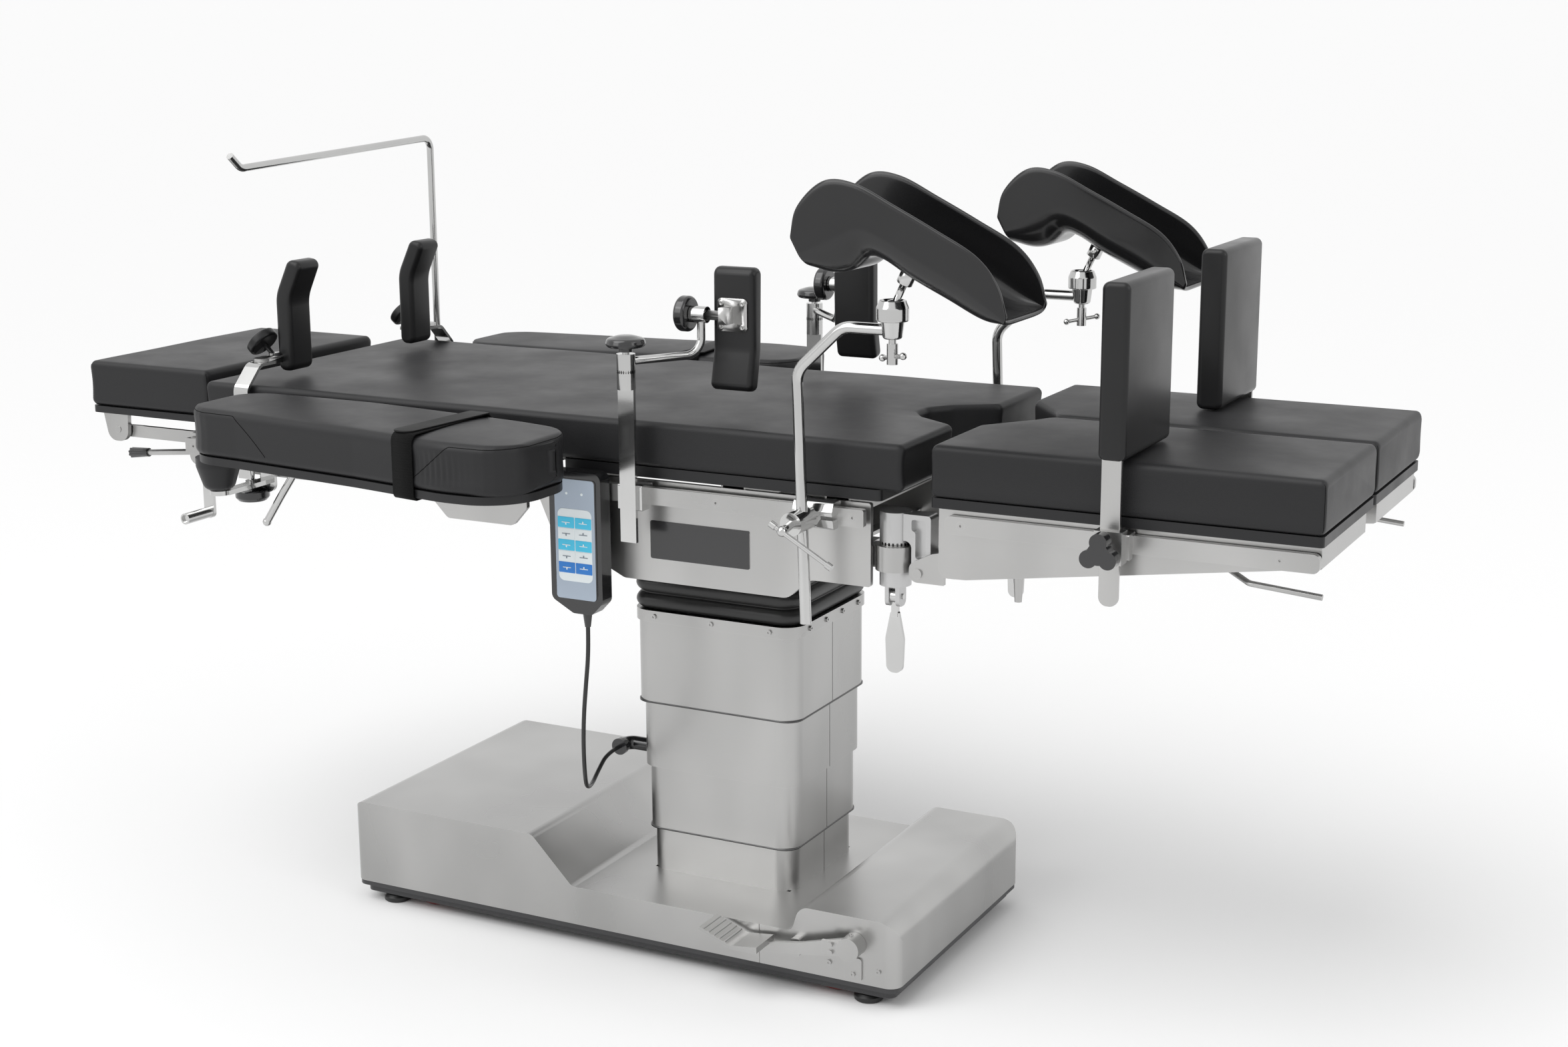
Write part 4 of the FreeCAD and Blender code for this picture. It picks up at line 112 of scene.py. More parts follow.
def add_node(tree: Tree, kind: str, settings: dict | None = None, **inputs) -> bpy.types.Node:
    """Adds a node, sets its properties, and sets or links its inputs.

    Args:
        tree: The node tree.
        kind: The node's type, without its ShaderNode prefix.
        settings: Properties of the node.
        inputs: Values, sockets, or nodes whose first output is meant, by the input's name with _ for a space,
            or by i0, i1 for a number.

    Returns:
        The new node.
    """
    node = tree.nodes.new("ShaderNode" + kind)
    for key, value in (settings or {}).items():
        setattr(node, key, value)
    for key, value in inputs.items():
        number = key[1:] if key[0] == "i" and key[1:].isdigit() else ""
        socket = node.inputs[int(number)] if number else node.inputs[key.replace("_", " ")]
        value = value.outputs[0] if isinstance(value, bpy.types.Node) else value
        if isinstance(value, bpy.types.NodeSocket):
            tree.links.new(value, socket)
        else:
            socket.default_value = value
    return node


def close_group(group: Tree, **results: bpy.types.Node) -> Tree:
    """Links the results of a group.

    Args:
        group: The group.
        results: For each output's name, the node whose first output gives it.

    Returns:
        The same group.
    """
    for name, node in results.items():
        group.links.new(node.outputs[0], group.nodes["out"].inputs[name])
    return group


def leather_group() -> Tree:
    """Synthetic leather: pebbles as the distance in a cell pattern, with pores of finer noise between.

    Returns:
        The node group, with its relief as Height and its shade as Tone.
    """
    group = add_group("leather_grain", {"Scale": 620.0}, ["Height", "Tone"])
    place = add_node(group, "TexCoord").outputs["Object"]
    scale = group.nodes["in"].outputs["Scale"]
    cells = add_node(group, "TexVoronoi", {"feature": "SMOOTH_F1"}, Vector=place, Scale=scale)
    pores = add_node(group, "TexNoise", Vector=place, Scale=1400.0, Detail=3.0)
    bumps = add_node(group, "Math", {"operation": "MULTIPLY_ADD"}, i0=pores, i1=0.35,
                     i2=cells.outputs["Distance"])
    cloud = add_node(group, "TexNoise", Vector=place, Scale=6.0, Detail=4.0, Roughness=0.6)
    return close_group(group, Height=bumps, Tone=cloud)


def brushed_and_reflection_group() -> Tree:
    """Brushed grain: noise drawn out along the table into fine scratches, over a broad upright cloud of tone,
    which varies at random and also paints soft reflection bands into the steel's colour.

    Returns:
        The node group, as for leather.
    """
    group = add_group("brushed_grain", {"Scale": 1.0}, ["Height", "Tone"])
    place = add_node(group, "TexCoord").outputs["Object"]
    drawn = add_node(group, "Mapping", Vector=place, Scale=(14.0, 700.0, 700.0))
    lines = add_node(group, "TexNoise", Vector=drawn, Detail=4.0, Scale=group.nodes["in"].outputs["Scale"])
    # broad upright cloud: random tone that also paints soft upright reflection bands on the steel
    broad = add_node(group, "Mapping", Vector=place, Scale=(5.0, 5.0, 2.2))
    cloud = add_node(group, "TexNoise", Vector=broad, Scale=1.0, Detail=2.0)
    return close_group(group, Height=lines, Tone=cloud)


def stipple_group() -> Tree:
    """Moulded or cast skin: a fine even noise, over a broad cloud.

    Returns:
        The node group, as for leather.
    """
    group = add_group("stippled_skin", {"Scale": 900.0}, ["Height", "Tone"])
    place = add_node(group, "TexCoord").outputs["Object"]
    skin = add_node(group, "TexNoise", Vector=place, Scale=group.nodes["in"].outputs["Scale"], Detail=2.0)
    cloud = add_node(group, "TexNoise", Vector=place, Scale=9.0, Detail=4.0)
    return close_group(group, Height=skin, Tone=cloud)


def ribbed_group() -> Tree:
    """Webbing: a sine of height plus depth, so that ribs cross the band wherever it runs, and fine noise.

    Returns:
        The node group, as for leather.
    """
    group = add_group("ribbed_webbing", {"Scale": 1.0}, ["Height", "Tone"])
    place = add_node(group, "TexCoord").outputs["Object"]
    axes = add_node(group, "SeparateXYZ", Vector=place)
    both_ways = add_node(group, "Math", {"operation": "ADD"}, i0=axes.outputs["Y"], i1=axes.outputs["Z"])
    phase = add_node(group, "Math", {"operation": "MULTIPLY"}, i0=both_ways, i1=2700.0)
    ribs = add_node(group, "Math", {"operation": "SINE"}, i0=phase)
    fuzz = add_node(group, "TexNoise", Vector=place, Scale=1800.0, Detail=2.0)
    height = add_node(group, "Math", {"operation": "MULTIPLY_ADD"}, i0=ribs, i1=0.5, i2=fuzz)
    return close_group(group, Height=height, Tone=fuzz)


def wear_group() -> Tree:
    """Edge wear: how far a rounded normal turns from the face's own one, broken up by noise.

    Returns:
        The node group, with the worn share as Mask.
    """
    group = add_group("edge_wear", {"Radius": 0.0012, "Amount": 1.0}, ["Mask"])
    source = group.nodes["in"]
    rounded = add_node(group, "Bevel", {"samples": 3}, Radius=source.outputs["Radius"])
    face = add_node(group, "NewGeometry")
    same = add_node(group, "VectorMath", {"operation": "DOT_PRODUCT"}, i0=rounded, i1=face.outputs["Normal"])
    edge = add_node(group, "MapRange", i0=same.outputs["Value"], i1=0.985, i2=0.82, i3=0.0, i4=1.0)
    place = add_node(group, "TexCoord").outputs["Object"]
    broken = add_node(group, "TexNoise", Vector=place, Scale=60.0, Detail=4.0)
    part = add_node(group, "Math", {"operation": "MULTIPLY"}, i0=edge, i1=broken)
    mask = add_node(group, "Math", {"operation": "MULTIPLY"}, i0=part, i1=source.outputs["Amount"])
    return close_group(group, Mask=mask)


GRAINS = {Grain.LEATHER: leather_group(), Grain.BRUSHED: brushed_and_reflection_group(), Grain.STIPPLED: stipple_group(),
          Grain.POLISHED: stipple_group(), Grain.RIBBED: ribbed_group()}
WEAR = wear_group()


@dataclass(frozen=True)
class Finish:
    """One surface finish: its colour, gloss, small relief and worn edges."""

    name: str
    colour: Colour | float
    worn: Colour | float
    roughness: float
    grain: Grain
    scale: float
    relief: float
    metallic: float = 0.0
    coat: float = 0.0
    wear: float = 0.5
    spread: float = 0.12
    specular: float = 0.5

    def build(self) -> bpy.types.Material:
        """Makes the finish's material: tone clouds, which on brushed steel also paint reflection bands, worn
        edges, which on the dark rim also paint a highlight, gloss variation and relief.

        Returns:
            The material.
        """
        material = bpy.data.materials.new(self.name)
        material.use_nodes = True
        tree = material.node_tree
        shader = tree.nodes["Principled BSDF"]
        grain = add_node(tree, "Group", {"node_tree": GRAINS[self.grain]}, Scale=self.scale)
        wear = add_node(tree, "Group", {"node_tree": WEAR}, Radius=0.0012, Amount=self.wear)
        base, worn = (c if isinstance(c, tuple) else (c, c, c) for c in (self.colour, self.worn))
        # darker and lighter ends of the tone cloud's mix: random tone, and on brushed steel also painted
        # reflection bands
        darker = tuple(c * (1 - self.spread) for c in base) + (1.0,)
        lighter = tuple(c * (1 + self.spread) for c in base) + (1.0,)
        tone = add_node(tree, "Mix", {"data_type": "RGBA"}, i0=grain.outputs["Tone"], i6=darker, i7=lighter)
        colour = add_node(tree, "Mix", {"data_type": "RGBA"}, i0=wear.outputs["Mask"], i6=tone.outputs[2],
                          i7=worn + (1.0,))
        gloss = add_node(tree, "MapRange", i0=grain.outputs["Tone"], i1=0.3, i2=0.7, i3=self.roughness * 0.85,
                         i4=min(1.0, self.roughness * 1.15))
        bump = add_node(tree, "Bump", Strength=self.relief, Distance=0.0004, Height=grain.outputs["Height"])
        for value, socket in ((colour.outputs[2], "Base Color"), (gloss.outputs[0], "Roughness"),
                              (bump.outputs[0], "Normal")):
            tree.links.new(value, shader.inputs[socket])
        shader.inputs["Metallic"].default_value = self.metallic
        shader.inputs["Specular IOR Level"].default_value = self.specular
        shader.inputs["Coat Weight"].default_value = self.coat
        shader.inputs["Coat Roughness"].default_value = 0.12
        return material


LEATHER, BRUSHED, STIPPLED, POLISHED, RIBBED = Grain
FINISHES = {finish.name: finish.build() for finish in (
    Finish("pad", (0.0155, 0.0155, 0.0165), (0.035, 0.035, 0.037), 0.46, LEATHER, 620.0, 0.22, wear=0.35,
           specular=0.28),
    Finish("board", (0.012, 0.012, 0.013), 0.05, 0.42, STIPPLED, 900.0, 0.10, specular=0.35),
    # stainless: the wide spread of its tone cloud paints light and dark reflection bands into the colour, over
    # its random tone
    Finish("stainless", (0.44, 0.438, 0.432), (0.70, 0.70, 0.69), 0.30, BRUSHED, 1.0, 0.16, metallic=1.0,
           spread=0.34),
    # rim: dark steel that paints the shade line under each column cover's lip; its lighter worn edges paint a
    # highlight along it
    Finish("rim", 0.11, 0.5, 0.34, BRUSHED, 1.0, 0.10, metallic=1.0, spread=0.3),
    Finish("chrome", (0.52, 0.52, 0.515), 0.75, 0.12, POLISHED, 400.0, 0.02, metallic=1.0),
    Finish("rubber", 0.014, 0.05, 0.36, STIPPLED, 1300.0, 0.08),
    Finish("gloss_black", (0.012, 0.012, 0.013), 0.05, 0.2, STIPPLED, 900.0, 0.03, coat=0.5),
    Finish("moulded", (0.010, 0.010, 0.0105), (0.035, 0.035, 0.036), 0.34, STIPPLED, 1200.0, 0.09, coat=0.05,
           specular=0.3),
    Finish("trough", (0.009, 0.009, 0.0095), (0.03, 0.03, 0.031), 0.22, STIPPLED, 1200.0, 0.05, coat=0.3,
           specular=0.35),
    Finish("cast", 0.50, 0.7, 0.36, STIPPLED, 500.0, 0.22, metallic=1.0),
    Finish("chassis", (0.035, 0.035, 0.037), 0.12, 0.42, STIPPLED, 700.0, 0.10),
    Finish("wheel", (0.16, 0.022, 0.022), (0.25, 0.06, 0.06), 0.5, STIPPLED, 800.0, 0.15),
    Finish("face_plate", (0.40, 0.47, 0.56), (0.6, 0.66, 0.74), 0.36, STIPPLED, 1500.0, 0.03, wear=0.2),
    Finish("key_white", (0.80, 0.86, 0.88), 0.85, 0.4, STIPPLED, 1500.0, 0.03, wear=0.1),
    Finish("key_cyan", (0.06, 0.56, 0.82), (0.3, 0.7, 0.85), 0.4, STIPPLED, 1500.0, 0.03, wear=0.1),
    Finish("key_blue", (0.02, 0.20, 0.62), (0.2, 0.4, 0.7), 0.4, STIPPLED, 1500.0, 0.03, wear=0.1),
    Finish("mark_grey", (0.20, 0.24, 0.28), 0.3, 0.5, STIPPLED, 1500.0, 0.02, wear=0.1),
    Finish("webbing", 0.005, 0.015, 0.75, RIBBED, 1.0, 0.8, wear=0.2, specular=0.12),
    Finish("tongue", 0.006, 0.03, 0.55, LEATHER, 900.0, 0.35, wear=0.3, specular=0.2),
    Finish("seam", 0.003, 0.01, 0.7, STIPPLED, 2500.0, 0.3, wear=0.1, specular=0.1),
)}


def rounded_path(corners: Corners, steps: int = 7) -> np.ndarray:
    """Rounds a closed polygon's corners: each becomes a circular arc, drawn as a weighted quadratic curve.

    Args:
        corners: (a, b, radius) for each corner, in millimetres.
        steps: Points on each rounded corner.

    Returns:
        The points of the rounded outline, in millimetres.
    """
    at = np.array([c[:2] for c in corners], float)
    radius = np.array([c[2] for c in corners], float)
    before, after = np.roll(at, 1, 0) - at, np.roll(at, -1, 0) - at
    len_b, len_a = np.linalg.norm(before, axis=1), np.linalg.norm(after, axis=1)
    unit_b, unit_a = before / len_b[:, None], after / len_a[:, None]
    half = np.arccos(np.clip((unit_b * unit_a).sum(1), -1, 1)) / 2
    reach = np.minimum(radius / np.tan(half), 0.49 * np.minimum(len_a, len_b))
    t = np.linspace(0, 1, steps)[None, :, None]
    start, end, mid = at + unit_b * reach[:, None], at + unit_a * reach[:, None], at
    pull = 2 * t * (1 - t) * np.sin(half)[:, None, None]
    curve = (1 - t) ** 2 * start[:, None] + pull * mid[:, None] + t ** 2 * end[:, None]
    curve = curve / ((1 - t) ** 2 + pull + t ** 2)
    points = curve.reshape(-1, 2)
    keep = np.r_[True, np.linalg.norm(np.diff(points, axis=0), axis=1) > 1e-3]
    return points[keep]


def box_outline(x: Pair, y: Pair, radius: float) -> Corners:
    """The corners of a rectangle, from its two spans and one radius."""
    return ((x[0], y[0], radius), (x[1], y[0], radius), (x[1], y[1], radius), (x[0], y[1], radius))


def smooth_line(points: np.ndarray, count: int) -> np.ndarray:
    """Catmull-Rom line: between two points a cubic whose ends lean along the chords of their neighbours.

    Args:
        points: Points that the line passes through.
        count: Number of points on the line.

    Returns:
        Points evenly spread over the line's parameter.
    """
    padded = np.vstack([2 * points[0] - points[1], points, 2 * points[-1] - points[-2]])
    u = np.linspace(0, len(points) - 1, count)
    i = np.minimum(u.astype(int), len(points) - 2)
    t = (u - i)[:, None]
    p0, p1, p2, p3 = (padded[i + k] for k in range(4))
    square, cube = 2 * p0 - 5 * p1 + 4 * p2 - p3, 3 * p1 - p0 - 3 * p2 + p3
    return 0.5 * (2 * p1 + (p2 - p0) * t + square * t ** 2 + cube * t ** 3)


def add_object(name: str, data: bpy.types.ID) -> Piece:
    """Makes an object at the origin, in the scene.

    Args:
        name: Its name.
        data: Its mesh, curve, camera or light.

    Returns:
        The object.
    """
    piece = bpy.data.objects.new(name, data)
    bpy.context.scene.collection.objects.link(piece)
    return piece


def rings_mesh(name: str, points: np.ndarray, capped: bool = True, wrapped: bool = True) -> Piece:
    """Makes a mesh from rings of points: quads between neighbours and one face over each end.

    Args:
        name: Name of the piece.
        points: Array of (rings, points in a ring, 3), in millimetres.
        capped: Whether both ends are closed.
        wrapped: Whether each ring closes on itself.

    Returns:
        The new object, at the origin, with its faces turned outwards.
    """
    rings, count = points.shape[:2]
    index = np.arange(rings * count).reshape(rings, count)
    cols = count if wrapped else count - 1
    nxt = np.roll(index, -1, 1)
    quads = np.stack([index[:-1, :cols], index[1:, :cols], nxt[1:, :cols], nxt[:-1, :cols]], -1)
    faces = quads.reshape(-1, 4).tolist()
    if capped:
        faces += [index[0].tolist(), index[-1][::-1].tolist()]
    mesh = bpy.data.meshes.new(name)
    mesh.from_pydata((points.reshape(-1, 3) * MM).tolist(), [], faces)
    tidy = bmesh.new()
    tidy.from_mesh(mesh)
    bmesh.ops.remove_doubles(tidy, verts=tidy.verts, dist=1e-6)
    bmesh.ops.recalc_face_normals(tidy, faces=tidy.faces)
    tidy.to_mesh(mesh)
    tidy.free()
    mesh.polygons.foreach_set("use_smooth", np.ones(len(mesh.polygons), bool))
    return add_object(name, mesh)


def dress(piece: Piece, finish: str, body: str | None, nodes: tuple[str, ...] = ()) -> Piece:
    """Gives a piece its finish, the body it rides on and the CAD nodes it stands for.

    Args:
        piece: The piece.
        finish: Name of its finish.
        body: The body, or None for a piece that rides on no body.
        nodes: The CAD nodes that it replaces.

    Returns:
        The same piece.
    """
    piece.data.materials.append(FINISHES[finish])
    if body:
        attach(piece, body)
    if nodes:
        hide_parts(*nodes)
    LOG.info("%s on %s", piece.name, body)
    return piece


@dataclass
class Pad:
    """A leather pad: a rounded cross-section ring carried across the outline, crowned on top."""

    name: str
    outline: Corners
    low: float
    high: float
    along_y: bool = False
    edge: float = 9.0
    crown: float = 2.5
    pull: float = 1.6
    stations: int = 90
    puckers: tuple[float, ...] = ()
    pucker_reach: float = 26.0
    pucker_depth: float = 0.9
    pucker_turn: float = 0.62
    wave: float = 0.5
    wave_lengths: Pair = (61.0, 47.0)

    def spans(self, where: np.ndarray) -> tuple[np.ndarray, np.ndarray]:
        """The outline's lowest and highest crossing at each station.

        Args:
            where: Station places along the outline's first axis, in millimetres.

        Returns:
            Both ends of the pad at each station.
        """
        a = rounded_path(self.outline)
        b = np.roll(a, -1, 0)
        rise = b[:, 0] - a[:, 0]
        share = (where[:, None] - a[None, :, 0]) / np.where(np.abs(rise) < 1e-9, np.nan, rise)[None]
        on_edge = (share >= -1e-9) & (share <= 1 + 1e-9)
        hit = np.where(on_edge, a[None, :, 1] + share * (b - a)[None, :, 1], np.nan)
        return np.nanmin(hit, 1), np.nanmax(hit, 1)

    def surface(self) -> np.ndarray:
        """Rings of the pad: each runs under, up one side, over the top and down the other side.

        The corner is a quarter circle of the edge radius, the sides pull in as a sine between the corners, and
        the top rises by the crown times one minus the fourth power of the distance from the middle, each way,
        with a slow wave of two sines over it.
        Near the first and last station the ring loses height by the same quarter circle. Puckers are a sine
        along the side, under a bell curve round their middle, and fade upwards.

        Returns:
            Array of (stations, ring points, 3), in millimetres.
        """
        path = rounded_path(self.outline)
        first, last = path[:, 0].min() + 0.02, path[:, 0].max() - 0.02
        turn = np.linspace(0, math.pi / 2, 8)
        near = self.edge * (1 - np.cos(turn))
        where = np.r_[first + near, np.linspace(first + self.edge, last - self.edge, self.stations)[1:-1],
                      (last - near)[::-1]]
        left, right = self.spans(where)
        depth = np.minimum(where - first, last - where)
        r, rise = self.edge, np.linspace(0, 1, 9)[1:-1]
        drop = r - np.sqrt(np.maximum(r ** 2 - (r - np.minimum(depth, r)) ** 2, 0))
        corner = np.linspace(0, math.pi / 2, 7)
        across = np.linspace(0, 1, 34)[1:-1]
        arc_in, arc_up = r * (1 - np.cos(corner)), r * np.sin(corner)
        flat, bend, wall, bow = 0 * across, 0 * corner, 0 * rise, np.sin(rise * math.pi)
        inset = np.r_[r + flat, arc_in[::-1], wall, arc_in, r + flat, arc_in[::-1], wall, arc_in]
        upper = np.r_[flat, bend, rise, 1 + bend, 1 + flat, 1 + bend, rise[::-1], bend]
        shift = np.r_[flat, (r - arc_up)[::-1], r * (1 - 2 * rise), -(r - arc_up), flat,
                      -(r - arc_up)[::-1], r * (1 - 2 * rise[::-1]), (r - arc_up)]
        share = np.r_[across, 1 + bend, 1 + wall, 1 + bend, across[::-1], bend, wall, bend]
        side = np.r_[flat, bend, bow, bend, flat, bend, bow, bend] * self.pull
        for middle in self.puckers:
            near_seam = np.exp(-((where[:, None] - middle) / self.pucker_reach) ** 2)
            ripple = self.pucker_depth * (1 + np.sin(where[:, None] * self.pucker_turn))
            side = side + (side > 0) * ripple * near_seam * (1 - upper) ** 0.7
        l_low = left[:, None] + inset + side
        l_high = right[:, None] - inset - side
        place = l_low + (l_high - l_low) * share
        bottom, top = self.low + drop[:, None], self.high - drop[:, None]
        height = bottom + (top - bottom) * (upper + np.clip(shift, -r, r) / (self.high - self.low))
        middle_w = 2 * (where - first) / (last - first) - 1
        middle_l = 2 * (place - left[:, None]) / (right - left)[:, None] - 1
        out, on_top = np.clip(middle_l, -1, 1), upper > 0.99
        crown = self.crown * (1 - middle_w[:, None] ** 4) * (1 - out ** 4) * on_top
        long, cross = self.wave_lengths
        wave = self.wave * np.sin(where[:, None] / long + 0.8) * np.sin(place / cross + 0.3)
        height = height + crown + wave * on_top * (1 - out ** 6)
        station = where[:, None] + 0 * place
        return np.stack([place, station, height] if self.along_y else [station, place, height], -1)

    def build(self, body: str | None, nodes: tuple[str, ...], fill: float = 0.75) -> Piece:
        """Args:
            body: The body it rides on, or None for a pad on no body.
            nodes: The CAD nodes it stands for.
            fill: Not used.

        Returns:
            The pad.
        """
        piece = dress(rings_mesh(self.name, self.surface()), "pad", body, nodes)
        return piece


STITCH, SEAM_STEP = 3.4, 1.1


def sewn(name: str, on: Piece, route: np.ndarray, body: str, radius: float = 0.55) -> Piece:
    """Lays a stitched seam on a pad: a thin tube along the skin's nearest points, swelling at each stitch.

    Args:
        name: Name of the seam.
        on: The pad.
        route: Points near the pad's skin, in millimetres.
        body: The body it rides on.
        radius: Half the seam's thickness, in millimetres.

    Returns:
        The seam.
    """
    skin = BVHTree.FromPolygons([v.co for v in on.data.vertices], [p.vertices for p in on.data.polygons])
    steps = np.r_[0, np.cumsum(np.linalg.norm(np.diff(route, axis=0), axis=1))]
    along = np.linspace(0, steps[-1], max(12, int(steps[-1] / SEAM_STEP)))
    even = np.stack([np.interp(along, steps, route[:, k]) for k in range(3)], 1)
    near = [skin.find_nearest(Vector(point * MM)) for point in even]
    centre = np.array([hit[0] for hit in near]) / MM
    out = np.array([hit[1] for hit in near])
    ahead = np.gradient(centre, axis=0)
    ahead /= np.linalg.norm(ahead, axis=1)[:, None]
    out -= (out * ahead).sum(1)[:, None] * ahead
    out /= np.linalg.norm(out, axis=1)[:, None]
    across = np.cross(ahead, out)
    turn = np.linspace(0, 2 * math.pi, 7)[:-1]
    swell = radius * (0.75 + 0.45 * np.abs(np.sin(along * math.pi / STITCH)))
    spoke = np.cos(turn)[None, :, None] * across[:, None] + np.sin(turn)[None, :, None] * out[:, None]
    return dress(rings_mesh(name, centre[:, None] + spoke * swell[:, None, None]), "seam", body)


def mirrored(outline: Corners, sign: int, column: int = 1) -> Corners:
    """The outline on one side of the table: its Y column times the side's sign.

    Args:
        outline: Corners on the rear side.
        sign: The side's sign of Y.
        column: Which number of a corner is its Y.

    Returns:
        The corners on that side.
    """
    return [tuple(v * sign if k == column else v for k, v in enumerate(corner)) for corner in outline]


@dataclass
class Slab:
    """A moulded block: an outline in one plane, carried along the third axis with rounded rims."""

    name: str
    outline: Corners
    plane: str
    low: float
    high: float
    edge: float = 6.0

    def surface(self) -> np.ndarray:
        """Rings of the outline: at the rims they move in along their own normals by a quarter circle.

        Returns:
            Array of (rings, outline points, 3), in millimetres.
        """
        path = rounded_path(self.outline, steps=9)
        ahead = np.roll(path, -1, 0) - np.roll(path, 1, 0)
        area = 0.5 * np.sum(path[:, 0] * np.roll(path[:, 1], -1) - np.roll(path[:, 0], -1) * path[:, 1])
        aside = np.stack([ahead[:, 1], -ahead[:, 0]], 1) * np.sign(area)
        normal = aside / np.linalg.norm(ahead, axis=1)[:, None]
        turn = np.linspace(0, math.pi / 2, 7)
        inset = self.edge * np.r_[1 - np.sin(turn), (1 - np.sin(turn))[::-1]]
        rim = self.edge * (1 - np.cos(turn))
        at = np.r_[self.low + rim, (self.high - rim)[::-1]]
        flat = path[None] - normal[None] * inset[:, None, None]
        third = np.broadcast_to(at[:, None], flat.shape[:2])
        columns = {self.plane[0]: flat[..., 0], self.plane[1]: flat[..., 1]}
        return np.stack([columns.get(axis, third) for axis in "xyz"], -1)

    def build(self, finish: str, slot: str, body: str, nodes: tuple[str, ...] = ()) -> Piece:
        """Makes the block and dresses it; its arguments and result are those of dress."""
        return dress(rings_mesh(self.name, self.surface()), finish, body, nodes)


@dataclass
class Trough:
    """One leg trough: a gutter that turns down at the knee, with rolled rims, and its turned stem."""

    side: Side
    centre_x: float
    base_z: float
    y: float = 315.0
    half_width: float = 70.5
    wall: float = 7.0
    ball: float = 13.0
    lean: float = 25.4
    flat_share: float = 0.2
    rise_power: float = 1.7
    round_turn: float = 0.72
    round_power: float = 0.85
    round_share: float = 0.69
    stem_profile: tuple = ((5, 12), (5, 38), (10, 38), (11, 39), (11, 66))
    floor_line: tuple = ((187, 3), (150, 6), (100, 29), (50, 53), (10, 76), (-16, 80), (-40, 62), (-66, 57),
                         (-96, 64))
    rim_line: tuple = ((190, 12), (178, 52), (148, 88), (92, 119), (34, 148), (-22, 174), (-68, 176),
                       (-106, 142), (-116, 100))

    def surface(self) -> np.ndarray:
        """The gutter's outer sheet, from one rim down, under and up to the other rim.

        Along the gutter the floor and the rim each follow a smooth line. Across it the share of the way from
        floor to rim is a power of the distance round, and the width follows the sine of it, which rounds the
        bottom.

        Returns:
            Array of (points along, points across, 3), in millimetres.
        """
        floor = smooth_line(np.array(self.floor_line, float), 60)
        rim = smooth_line(np.array(self.rim_line, float), 60)
        around = np.linspace(-1, 1, 49)
        share, hand = np.abs(around), np.sign(around)
        lift = np.clip((share - self.flat_share) / (1 - self.flat_share), 0, 1) ** self.rise_power
        width = hand * np.clip(np.sin(share * math.pi * self.round_turn), 0, 1) ** self.round_power
        width = np.where(share > self.round_share, hand, width) * self.half_width
        side_view = floor[:, None] + (rim - floor)[:, None] * lift[None, :, None]
        y = self.side.value * self.y + np.broadcast_to(width, side_view.shape[:2])
        return np.stack([self.centre_x + side_view[..., 0], y, self.base_z + side_view[..., 1]], -1)

    def stem(self) -> np.ndarray:
        """Ball, stem and sleeve: a profile of radius and height turned about the leaning axis.

        Returns:
            Array of (profile points, points in a turn, 3), in millimetres.
        """
        arc = np.linspace(-math.pi / 2, 1.17, 14)
        profile = np.r_[np.stack([self.ball * np.cos(arc), self.ball * np.sin(arc)], 1), self.stem_profile]
        turn = np.linspace(0, 2 * math.pi, 33)[:-1]
        sine, cosine = math.sin(math.radians(self.lean)), math.cos(math.radians(self.lean))
        up, out = np.array([sine, 0, cosine]), np.array([cosine, 0, -sine])
        ball = np.array([self.centre_x, self.side.value * self.y, self.base_z + 4])
        spoke = np.cos(turn)[:, None] * out + np.sin(turn)[:, None] * np.array([0.0, 1.0, 0.0])
        return ball + profile[:, None, :1] * spoke[None] + profile[:, None, 1:] * up

    def build(self) -> None:
        """Makes the gutter with its wall and rolled rims, and the stem below it."""
        body = f"trough_{self.side.label}"
        piece = rings_mesh(f"leg_trough_{self.side.label}", self.surface(), capped=False, wrapped=False)
        solid = piece.modifiers.new("wall", "SOLIDIFY")
        solid.thickness, solid.offset, solid.use_even_offset = self.wall * MM, 0.0, False
        smooth = piece.modifiers.new("rim", "SUBSURF")
        smooth.levels = smooth.render_levels = 1
        dress(piece, "trough", body, (f"holder_trough_{self.side.label}",))
        dress(rings_mesh(f"trough_stem_{self.side.label}", self.stem()), "chrome", body)


@dataclass
class Bellows:
    """The folded gaiter between the column and the tilting head."""

    centre_x: float = 89.0
    half_x: float = 145.0
    half_y: float = 132.5
    low: float = 527.4
    high: float = 632.4
    folds: int = 4
    depth: float = 9.0
    corner: float = 30.0

    def surface(self) -> np.ndarray:
        """A rounded rectangle carried upwards, which swells at each fold by the power 0.6 of a sine.

        Returns:
            Array of (rings, outline points, 3), in millimetres.
        """
        up = np.linspace(0, 1, self.folds * 18 + 1)
        wave = np.abs(np.sin(up * self.folds * math.pi)) ** 0.6
        swell = self.depth * (wave - 1) - 1.0
        corners = box_outline((-self.half_x, self.half_x), (-self.half_y, self.half_y), self.corner)
        path = rounded_path(corners, steps=12)
        size = np.array([self.half_x, self.half_y])
        grown = path[None] * (1 + swell[:, None, None] / size)
        z = np.broadcast_to(self.low + (self.high - self.low) * up[:, None], grown.shape[:2])
        return np.stack([self.centre_x + grown[..., 0], grown[..., 1], z], -1)

    def build(self) -> None:
        """Makes the gaiter between the column and the cradle."""
        piece = dress(rings_mesh("column_bellows", self.surface()), "rubber", None, ("bellows",))
        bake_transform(piece)


